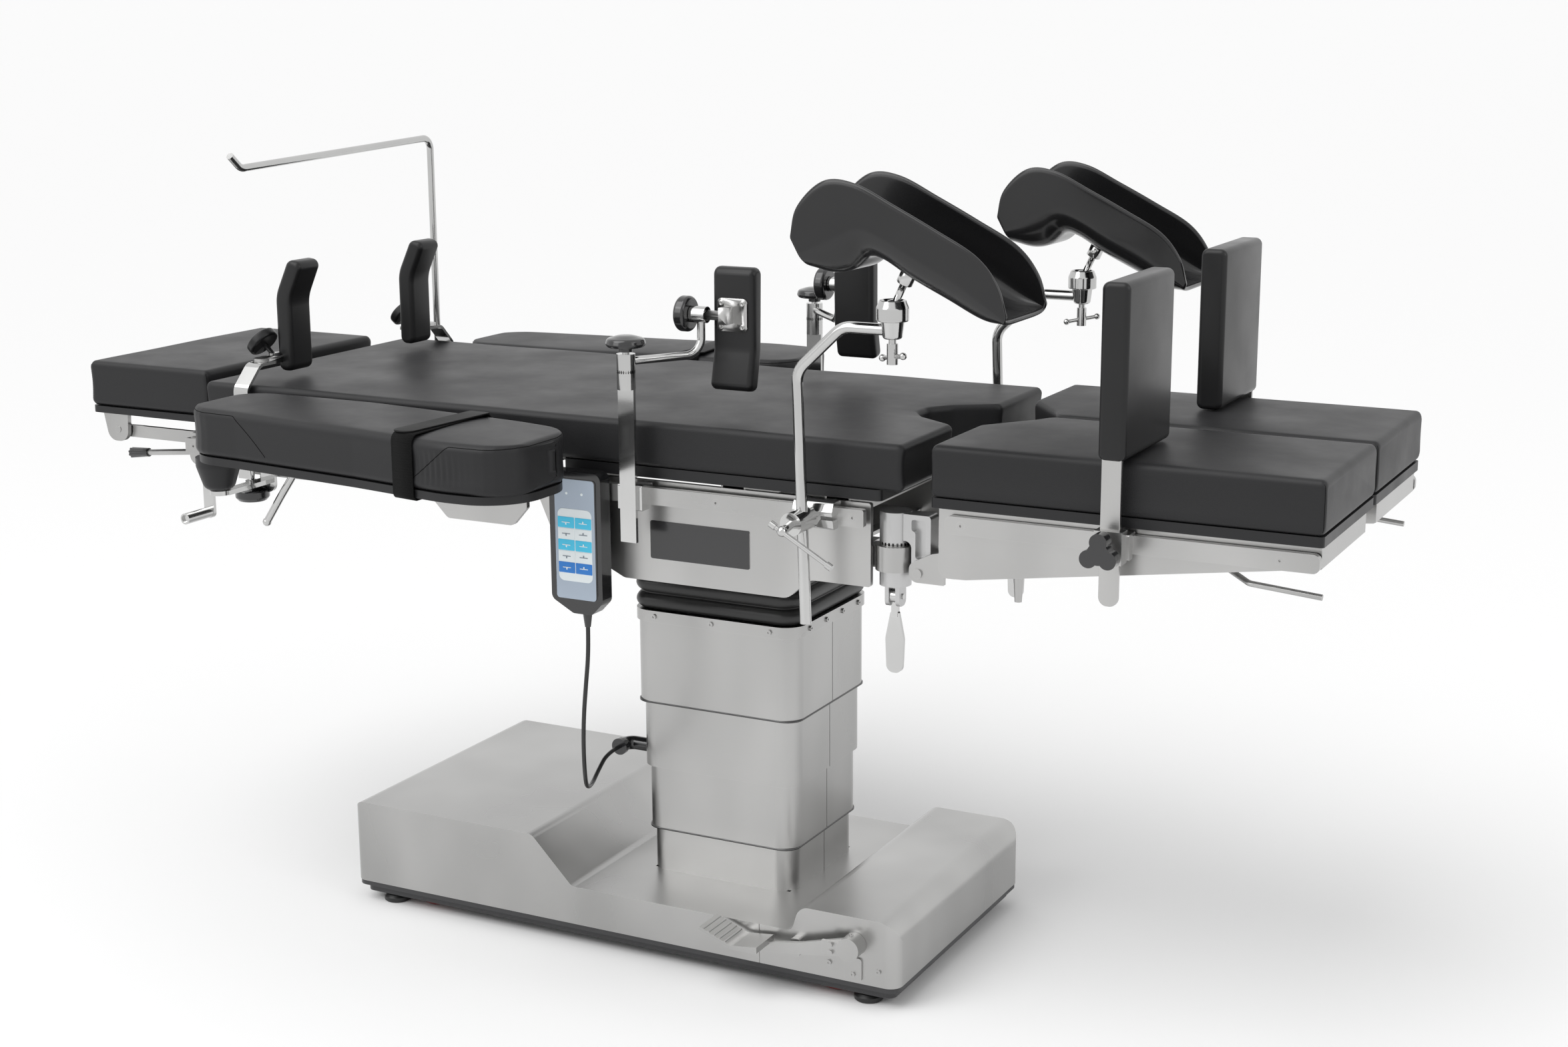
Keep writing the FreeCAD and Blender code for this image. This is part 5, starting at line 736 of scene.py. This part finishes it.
@dataclass
class CoverRimsPaintedShade:
    """The folded rim at the foot of each telescoping column cover, in dark steel that paints the shade line
    under each cover's lip, with a painted highlight on its lighter worn edges.
    """

    corner: float = 26.0
    proud: float = 0.5
    depth: float = 1.0
    height: float = 2.6

    def surface(self, low: np.ndarray, high: np.ndarray) -> np.ndarray:
        """A square section carried round the cover's rounded rectangle.

        Args:
            low: The cover's lowest corner, in millimetres.
            high: The cover's highest corner, in millimetres.

        Returns:
            Array of (outline points, 4, 3), in millimetres.
        """
        loops = []
        foot, top = low[2], low[2] + self.height
        for grow, z in ((self.proud, foot), (self.proud, top), (-self.depth, top), (-self.depth, foot)):
            x, y = ((low[axis] - grow, high[axis] + grow) for axis in range(2))
            loop = rounded_path(box_outline(x, y, self.corner))
            loops.append(np.c_[np.vstack([loop, loop[:1]]), np.full(len(loop) + 1, z)])
        return np.stack(loops, 1)

    def build(self) -> None:
        """Makes a rim on each moving cover, from the cover's own outer faces."""
        for level in ("lower", "middle", "upper"):
            node = f"column_cover_{level}"
            mesh = frame["nodes"][node].data
            at = np.zeros(len(mesh.vertices) * 3)
            mesh.vertices.foreach_get("co", at)
            at = at.reshape(-1, 3) / MM
            foot = at[at[:, 2] < at[:, 2].min() + 1.5]
            piece = rings_mesh(f"{node}_rim", self.surface(foot.min(0), foot.max(0)), capped=False)
            # the dark rim finish paints the shade under the cover's lip, and a highlight on its edges
            dress(piece, "rim", f"column_{level}")


@dataclass
class Cord:
    """The hand control's cord, hanging from the control into the column's socket."""

    diameter: float = 0.0065
    length: float = 0.445
    route: tuple = ((-30, -292, 540), (-30, -292, 502), (-32, -298, 454), (-36, -300, 406), (-42, -294, 356),
                    (-50, -280, 308), (-64, -254, 272), (-82, -212, 258), (-94, -170, 270), (-99, -136, 285),
                    (-99, -100, 285))

    def build(self) -> None:
        curve = bpy.data.curves.new("control_cord", "CURVE")
        curve.dimensions = "3D"
        curve.bevel_depth, curve.bevel_resolution, curve.resolution_u = self.diameter / 2, 5, 10
        curve.use_fill_caps = True
        line = curve.splines.new("NURBS")
        line.points.add(len(self.route) - 1)
        line.points.foreach_set("co", np.c_[np.array(self.route) * MM, np.ones(len(self.route))].ravel())
        line.order_u, line.use_endpoint_u = 3, True
        piece = add_object("control_cord", curve)
        dress(piece, "rubber", "seat", ("controller_cord",))


@dataclass
class Keypad:
    """The hand control's face: plate, two lamps, five rows of two keys and their plain signs."""

    centre_x: float = -39.0
    front_y: float = -306.3
    plate_low: float = 584.0
    plate_high: float = 764.0
    half_plate: float = 34.0
    row_height: float = 17.0
    rows: tuple[str, ...] = ("key_cyan", "key_white", "key_cyan", "key_white", "key_blue")
    field_top: float = 708.0
    half_field: float = 29.0
    field_rim: float = 12.0
    key_gap: float = 0.4
    side_gap: float = 0.3
    half_bar: float = 7.0
    half_stroke: float = 0.6
    post: float = 3.5
    lamp_x: float = 13.0
    lamp_z: Pair = (741.0, 745.0)

    def block(self, name: str, x: Pair, z: Pair, layer: int, finish: str, corner: float = 2.0) -> None:
        """Makes one thin rounded block on the face, a layer of 0.5 mm above the last.

        Args:
            name: Name of the piece.
            x: Its ends along the table, in millimetres.
            z: Its lower and upper end, in millimetres.
            layer: How many layers lie below it.
            finish: Name of its finish.
            corner: Radius of its corners, in millimetres.
        """
        front = self.front_y - 0.5 * layer
        key = Slab(name, box_outline(x, z, corner), "xz", front - 0.5, front + 0.3, 0.25)
        key.build(finish, "gloss_black", "seat")

    def build(self) -> None:
        """Makes the plate, the key field, the keys, their signs and the lamps."""
        cx, half, top, gap = self.centre_x, self.half_field, self.field_top, self.key_gap
        self.block("control_plate", (cx - self.half_plate, cx + self.half_plate),
                   (self.plate_low, self.plate_high), 0, "face_plate", 5)
        low = top - len(self.rows) * self.row_height
        self.block("key_field", (cx - half, cx + half), (low - self.field_rim, top + self.field_rim), 1,
                   "key_white", 9)
        for row, finish in enumerate(self.rows):
            z1 = top - row * self.row_height
            for column, (x0, x1) in enumerate(((cx - half, cx - gap), (cx + gap, cx + half))):
                key = f"key_{row}_{column}"
                across = (x0 + self.side_gap, x1 - self.side_gap)
                self.block(key, across, (z1 - self.row_height + gap, z1 - gap), 2, finish, 1.0)
                mark = {"key_white": "mark_grey"}.get(finish, "key_white")
                x, z = (x0 + x1) / 2, z1 - self.row_height / 2
                stroke = (z - self.half_stroke, z + self.half_stroke)
                self.block(f"{key}_bar", (x - self.half_bar, x + self.half_bar), stroke, 3, mark, 0.5)
                post = (z, z + self.post) if column else (z - self.post, z)
                self.block(f"{key}_post", (x - 1, x + 1), post, 3, mark, 0.5)
        for number, x in enumerate((cx - self.lamp_x, cx + self.lamp_x)):
            self.block(f"lamp_{number}", (x - 2, x + 2), self.lamp_z, 1, "key_white", 2)


@dataclass
class Studio:
    """Camera, soft light, white surroundings and pale floor."""

    lens: float = 52.597
    place: tuple[float, float, float] = (1.730269, -3.06188034, 1.454)
    yaw: float = 27.35
    pitch: float = 13.07
    roll: float = -0.288
    sky: float = 0.62
    sun: float = 1.35
    half_floor: float = 1500.0

    def camera(self) -> None:
        """Makes the camera from its place, heading, downward pitch and roll."""
        yaw, pitch, roll = (math.radians(v) for v in (self.yaw, self.pitch, self.roll))
        ahead = Vector((-math.sin(yaw) * math.cos(pitch), math.cos(yaw) * math.cos(pitch), -math.sin(pitch)))
        data = bpy.data.cameras.new("camera")
        data.lens, data.sensor_width, data.clip_end = self.lens, 36.0, 3000.0
        camera = add_object("camera", data)
        turn = ahead.to_track_quat("-Z", "Y").to_matrix() @ Matrix.Rotation(roll, 3, "Z")
        camera.matrix_world = Matrix.Translation(self.place) @ turn.to_4x4()
        bpy.context.scene.camera = camera

    def world(self) -> None:
        """White where the camera, a reflection or glass looks, and an even plain light everywhere else."""
        world = bpy.data.worlds.new("studio")
        world.use_nodes = True
        tree = world.node_tree
        back = tree.nodes["Background"]
        path = add_node(tree, "LightPath")
        seen = add_node(tree, "Math", {"operation": "MAXIMUM"}, i0=path.outputs["Is Camera Ray"],
                        i1=path.outputs["Is Glossy Ray"])
        seen = add_node(tree, "Math", {"operation": "MAXIMUM"}, i0=seen,
                        i1=path.outputs["Is Transmission Ray"])
        level = add_node(tree, "MapRange", i0=seen, i1=0.0, i2=1.0, i3=self.sky, i4=1.0)
        back.inputs["Color"].default_value = (1, 1, 1, 1)
        tree.links.new(level.outputs[0], back.inputs["Strength"])
        bpy.context.scene.world = world

    def lights(self) -> None:
        """One broad high lamp from the front left, and two large panels that draw soft bands on metal."""
        for name, kind, place, aim, power, size in (
                ("key", "SUN", (-2.0, -3.0, 6.0), (0, 0, 0.5), self.sun, 0.9),
                ("panel_front", "AREA", (-1.6, -3.2, 2.6), (0, 0, 0.7), 26.0, 2.2),
                ("panel_foot", "AREA", (3.4, -0.6, 2.4), (0.2, 0, 0.7), 16.0, 1.8)):
            data = bpy.data.lights.new(name, kind)
            data.energy = power
            if kind == "SUN":
                data.angle = size
            else:
                data.size = size
            lamp = add_object(name, data)
            lamp.location = place
            lamp.rotation_mode = "QUATERNION"
            lamp.rotation_quaternion = (Vector(aim) - Vector(place)).to_track_quat("-Z", "Y")

    def floor(self) -> None:
        """A pale floor, wide enough to fill the picture, that keeps the table's shadow."""
        edge = self.half_floor
        mesh = bpy.data.meshes.new("floor")
        corners = [(-edge, -edge, 0), (edge, -edge, 0), (edge, edge, 0), (-edge, edge, 0)]
        mesh.from_pydata(corners, [], [(0, 1, 2, 3)])
        floor = add_object("floor", mesh)
        material = bpy.data.materials.new("floor")
        material.use_nodes = True
        shader = material.node_tree.nodes["Principled BSDF"]
        shader.inputs["Base Color"].default_value = (0.98, 0.98, 0.98, 1)
        shader.inputs["Roughness"].default_value = 0.9
        shader.inputs["Specular IOR Level"].default_value = 0.1
        mesh.materials.append(material)

    def build(self) -> None:
        """Makes everything round the table."""
        self.camera()
        self.world()
        self.lights()
        self.floor()
        bpy.context.scene.view_settings.view_transform = "Standard"


@dataclass(frozen=True)
class Patch:
    """A part of CAD nodes with its own finish: the faces in a box, with Y taken from the middle outwards."""

    finish: str
    nodes: tuple[str, ...]
    x: Pair = (-2000.0, 2000.0)
    y: Pair = (0.0, 2000.0)
    z: Pair = (0.0, 2000.0)

    def paint(self, node: Piece) -> None:
        """Gives the faces whose centres lie in the box this finish.

        Args:
            node: The CAD node; its vertices stay as they are.
        """
        mesh = node.data
        centre = np.zeros(len(mesh.polygons) * 3)
        mesh.polygons.foreach_get("center", centre)
        centre = centre.reshape(-1, 3) / MM
        centre[:, 1] = np.abs(centre[:, 1])
        low, high = np.array([self.x, self.y, self.z]).T
        inside = ((centre >= low) & (centre <= high)).all(1)
        index = np.zeros(len(mesh.polygons), np.int32)
        mesh.polygons.foreach_get("material_index", index)
        mesh.materials.append(FINISHES[self.finish])
        index[inside] = len(mesh.materials) - 1
        mesh.polygons.foreach_set("material_index", index)


def both(node: str) -> tuple[str, str]:
    """The front and the rear node of the pair that a name's stem gives."""
    return tuple(f"{node}_{side.label}" for side in Side)


PATCHES = (
    Patch("gloss_black", ("seat_rail_clamps",), (10, 90), (260, 340), (952, 990)),
    Patch("gloss_black", ("back_rail_clamps",), (-674, -616), (271, 329), (671, 707)),
    Patch("gloss_black", ("lateral_arm_front",), (81, 101), (171, 226), (974, 1029)),
    Patch("gloss_black", ("lateral_arm_rear",), (109, 129), (171, 226), (974, 1029)),
    Patch("gloss_black", both("leg_frame"), (735, 820), (326, 350), (700, 800)),
    Patch("stainless", both("shoulder_pad"), (-730, -672.3), (0, 400), (800, 893)),
    Patch("stainless", both("shoulder_pad"), (-730, -600), (190.3, 400), (800, 888)),
    Patch("gloss_black", ("head_lever",), (-1016, -971)),
    Patch("gloss_black", ("seat_frame",), (60, 224), (257.2, 262), (647, 704)),
)


class Metalwork:
    """The CAD nodes that stay: each takes the finish of its slot, and its black knobs theirs."""

    def build(self) -> None:
        """Puts the slot's finish on every node, then the patches."""
        for row in frame["record"]["subparts"]:
            node = frame["nodes"][row["node"]]
            node.data.materials.clear()
            node.data.materials.append(FINISHES[row["material_slot"]])
        for patch in PATCHES:
            for name in patch.nodes:
                patch.paint(frame["nodes"][name])


@dataclass
class MouldedPad:
    """A moulded support pad with full rims, and the frame's own fittings that carry it."""

    node: str
    body: str
    skin: Slab
    repaint: bool = False

    def fittings(self) -> Piece:
        """Copies the node's mesh, merged, without its solid of the largest surface, which is the pad.

        Returns:
            The plates, studs and screws that carry the pad, in the finishes of the node.
        """
        mesh = frame["nodes"][self.node].data.copy()
        work = bmesh.new()
        work.from_mesh(mesh)
        bmesh.ops.remove_doubles(work, verts=work.verts, dist=1e-7)
        loose, solids = set(work.faces), []
        while loose:
            solid, rim = [], [loose.pop()]
            while rim:
                face = rim.pop()
                solid.append(face)
                near = {other for edge in face.edges for other in edge.link_faces} & loose
                loose -= near
                rim += near
            solids.append(solid)
        largest = max(solids, key=lambda faces: sum(face.calc_area() for face in faces))
        bmesh.ops.delete(work, geom=largest, context="FACES")
        work.to_mesh(mesh)
        work.free()
        mesh.polygons.foreach_set("use_smooth", np.ones(len(mesh.polygons), bool))
        mesh.set_sharp_from_angle(angle=math.radians(30))
        if self.repaint:
            mesh.materials.clear()
            mesh.materials.append(FINISHES["stainless"])
            mesh.polygons.foreach_set("material_index", np.zeros(len(mesh.polygons), np.int32))
        return add_object(f"{self.node}_fittings", mesh)

    def build(self) -> None:
        """Makes the pad and its fittings, which together stand for the node."""
        self.skin.build("moulded", "moulded", self.body, (self.node,))
        piece = self.fittings()
        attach(piece, self.body)
        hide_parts(self.node)


@dataclass
class Supports:
    """The shoulder, lateral and leg side supports' pads."""

    lateral_x: Pair = (160.0, 188.0)
    lateral_half: float = 34.0
    shoulder_y: Pair = (135.0, 190.0)
    upright_y: Pair = (116.0, 303.0)
    bar_y: Pair = (294.0, 300.0)
    shoulder: Corners = ((-672, 862.8, 12), (-672, 984.8, 60), (-644, 1042.8, 13), (-614, 1038.8, 13),
                         (-642, 978.8, 60), (-642, 862.8, 12))
    lateral: Corners = ((169, 889.2, 10), (157, 945.2, 60), (154, 1069.2, 12), (182, 1069.2, 12),
                        (183, 951.2, 60), (196, 893.2, 10))
    upright: Corners = box_outline((758, 796), (862, 1094), 10)
    flat_bar: Corners = ((763.5, 669, 12), (790.5, 669, 12), (790.5, 948, 6), (763.5, 948, 6))

    def build(self) -> None:
        """Makes the six pads, each side's as the mirror of the other's."""
        for side, x in zip(Side, self.lateral_x):
            label, sign = side.label, side.value
            low, high = sorted(sign * y for y in self.shoulder_y)
            skin = Slab(f"shoulder_cushion_{label}", self.shoulder, "xz", low, high, 8.0)
            MouldedPad(f"shoulder_pad_{label}", f"shoulder_{label}", skin).build()
            x0, x1 = x - self.lateral_half, x + self.lateral_half
            skin = Slab(f"lateral_cushion_{label}", mirrored(self.lateral, sign, 0), "yz", x0, x1, 8.0)
            MouldedPad(f"lateral_pad_{label}", f"lateral_pad_{label}", skin, True).build()
            low, high = sorted(sign * y for y in self.upright_y)
            body = f"side_support_{label}"
            skin = Slab(f"side_cushion_{label}", self.upright, "xz", low, high, 7.0)
            skin.build("moulded", "moulded", body, (body,))
            low, high = sorted(sign * y for y in self.bar_y)
            bar = Slab(f"side_bar_{label}", self.flat_bar, "xz", low, high, 0.8)
            bar.build("stainless", "stainless", body, (body,))


@dataclass
class Strap:
    """Webbing strap round an arm board and its pad, with its hook-and-loop tongue on top."""

    side: Side
    pad: Pad
    middle: float = -198.0
    half_width: float = 20.0
    low: float = 759.5
    high: float = 852.0
    thickness: float = 1.8

    def surface(self) -> np.ndarray:
        """A flat band: the pad's rounded section at both of the band's edges, inside and outside.

        Returns:
            Array of (points round the pad, 4, 3), in millimetres.
        """
        where = np.array([self.middle - self.half_width, self.middle + self.half_width])
        left, right = self.pad.spans(where)
        loops = []
        for k, grow in ((0, 0.6), (0, 0.6 + self.thickness), (1, 0.6 + self.thickness), (1, 0.6)):
            y0, y1, z0, z1 = left[k] - grow, right[k] + grow, self.low - grow, self.high - 1.8 + grow
            corners = [(y0, z0, 9), (y1, z0, 9), (y1, z1, 13), (y0, z1, 13)]
            loop = rounded_path(corners, steps=9)
            loop = np.vstack([loop, loop[:1]])
            loops.append(np.c_[np.full(len(loop), where[k]), loop])
        return np.stack(loops, 1)

    def build(self) -> None:
        """Makes the band and its tongue."""
        body = f"arm_{self.side.label}"
        band = rings_mesh(f"arm_strap_{self.side.label}", self.surface(), capped=False)
        dress(band, "webbing", body)
        sign = self.side.value
        left, right = (float(v[0]) for v in self.pad.spans(np.array([self.middle])))
        near, far = (left + 12, right - 5) if sign > 0 else (right - 12, left + 5)
        skew, half = 8.0, self.half_width - 2
        outline = [(self.middle + skew - half, near, 3), (self.middle + skew + half, near, 3),
                   (self.middle - skew + half, far, 15), (self.middle - skew - half, far, 15)]
        top = self.high + 0.6
        tongue = Slab(f"strap_tongue_{self.side.label}", outline, "xy", top, top + 2.6, 1.0)
        tongue.build("tongue", "pad", body)


@dataclass
class Upholstery:
    """All leather pads of the table top, with their outlines as (x, y, corner radius)."""

    head: Corners = box_outline((-1050, -796), (-220, 220), 8)
    leg: Corners = ((512, 275, 5), (512, 112, 12), (574, 32, 14), (588, 4, 12), (1050, 4, 6), (1050, 275, 6))
    arm: Corners = ((-654, 284, 60), (-400, 283, 400), (-120, 316, 260), (-12, 338, 66), (-14, 508, 80),
                    (-130, 512, 200), (-300, 484, 200), (-540, 455, 200), (-654, 446, 66))
    main_across: Corners = ((-266, -760, 8), (-266, 467, 8), (-92, 467, 10), (-52, 405, 30), (-20, 381, 26),
                            (20, 381, 26), (52, 405, 30), (92, 467, 10), (266, 467, 8), (266, -760, 8))
    under: float = 784.3
    puckered: Pair = (-150.0, -118.0)
    panels: tuple = ((-112.0, -186.0), (-544.0, -478.0))

    def build(self) -> None:
        """Makes head, main, leg and arm pads."""
        head_pad = Pad("head_cushion", self.head, 782.3, 857.3)
        head_piece = head_pad.build("head_plate", ("head_pad",))
        corners = [self.head[number][:2] for number in (0, 3, 1, 2)]
        self.corner_seams(head_piece, corners, head_pad, "head_plate")
        main_pad = Pad("main_pad", self.main_across, self.under, 850.3, along_y=True, stations=170)
        main = main_pad.build(None, ("seat_pad", "pad_fold", "back_pad"))
        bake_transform(main)
        for side in Side:
            label = side.label
            leg_pad = Pad(f"leg_pad_top_{label}", mirrored(self.leg, side.value), self.under, 857.3)
            leg_piece = leg_pad.build(f"leg_{label}", (f"leg_pad_{label}",))
            corners = [(1050, 4 * side.value), (1050, 275 * side.value)]
            self.corner_seams(leg_piece, corners, leg_pad, f"leg_{label}")
            arm_pad = Pad(f"arm_pad_top_{label}", mirrored(self.arm, side.value), 774.3, 846.3, edge=11.0,
                          crown=4.0, stations=240, puckers=self.puckered)
            arm_piece = arm_pad.build(f"arm_{label}", (f"arm_pad_{label}",))
            self.arm_seams(arm_piece, arm_pad, side)
            Strap(side, arm_pad).build()

    def corner_seams(self, piece: Piece, corners: list[Pair], pad: Pad, body: str) -> None:
        """Sews the upright seam at each of a pad's corners.

        Args:
            piece: The pad's mesh.
            corners: (x, y) of the corners, in millimetres.
            pad: The pad's sizes.
            body: The body it rides on.
        """
        for number, (x, y) in enumerate(corners):
            height = np.linspace(pad.low + 4, pad.high - 3, 30)
            route = np.stack([np.full(30, x), np.full(30, y), height], 1)
            sewn(f"{piece.name}_seam_{number}", piece, route, body, 0.4)

    def arm_seams(self, piece: Piece, pad: Pad, side: Side) -> None:
        """Sews each end panel of an arm pad: a seam round its top edge that slants down both of its sides.

        Args:
            piece: The arm pad's mesh.
            pad: The arm pad's sizes.
            side: The side of the table.
        """
        path = rounded_path(pad.outline, steps=24)
        rim = np.c_[path, np.full(len(path), pad.high - 3.0)]
        for number, (top_x, low_x) in enumerate(self.panels):
            outwards = 1 if top_x > low_x else -1
            turned = rim[(path[:, 0] - top_x) * outwards > 0]
            ends = pad.spans(np.array([top_x, low_x]))
            spoke = (turned[:, :2] - turned[:, :2].mean(0)) * (outwards, 1)
            turned = turned[np.argsort(np.arctan2(spoke[:, 1], spoke[:, 0]))]
            first, last = (0, 1) if turned[0, 1] < turned[-1, 1] else (1, 0)
            head = np.array([[low_x, ends[first][1], pad.low + 12], [top_x, ends[first][0], pad.high - 3]])
            tail = np.array([[top_x, ends[last][0], pad.high - 3], [low_x, ends[last][1], pad.low + 12]])
            sewn(f"{piece.name}_seam_{number}", piece, np.vstack([head, turned, tail]), f"arm_{side.label}")


def main() -> None:
    """Builds the studio, the cord, and then every piece round the frame."""
    logging.basicConfig(level=logging.INFO)
    Studio().build()
    Cord().build()
    Metalwork().build()
    Supports().build()
    Upholstery().build()
    for side, centre_x, base_z in ((Side.FRONT, 473.0, 1040.0), (Side.REAR, 509.0, 1013.0)):
        Trough(side, centre_x, base_z).build()
    Bellows().build()
    CoverRimsPaintedShade().build()
    Keypad().build()
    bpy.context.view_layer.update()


if __name__ == "__main__":
    main()
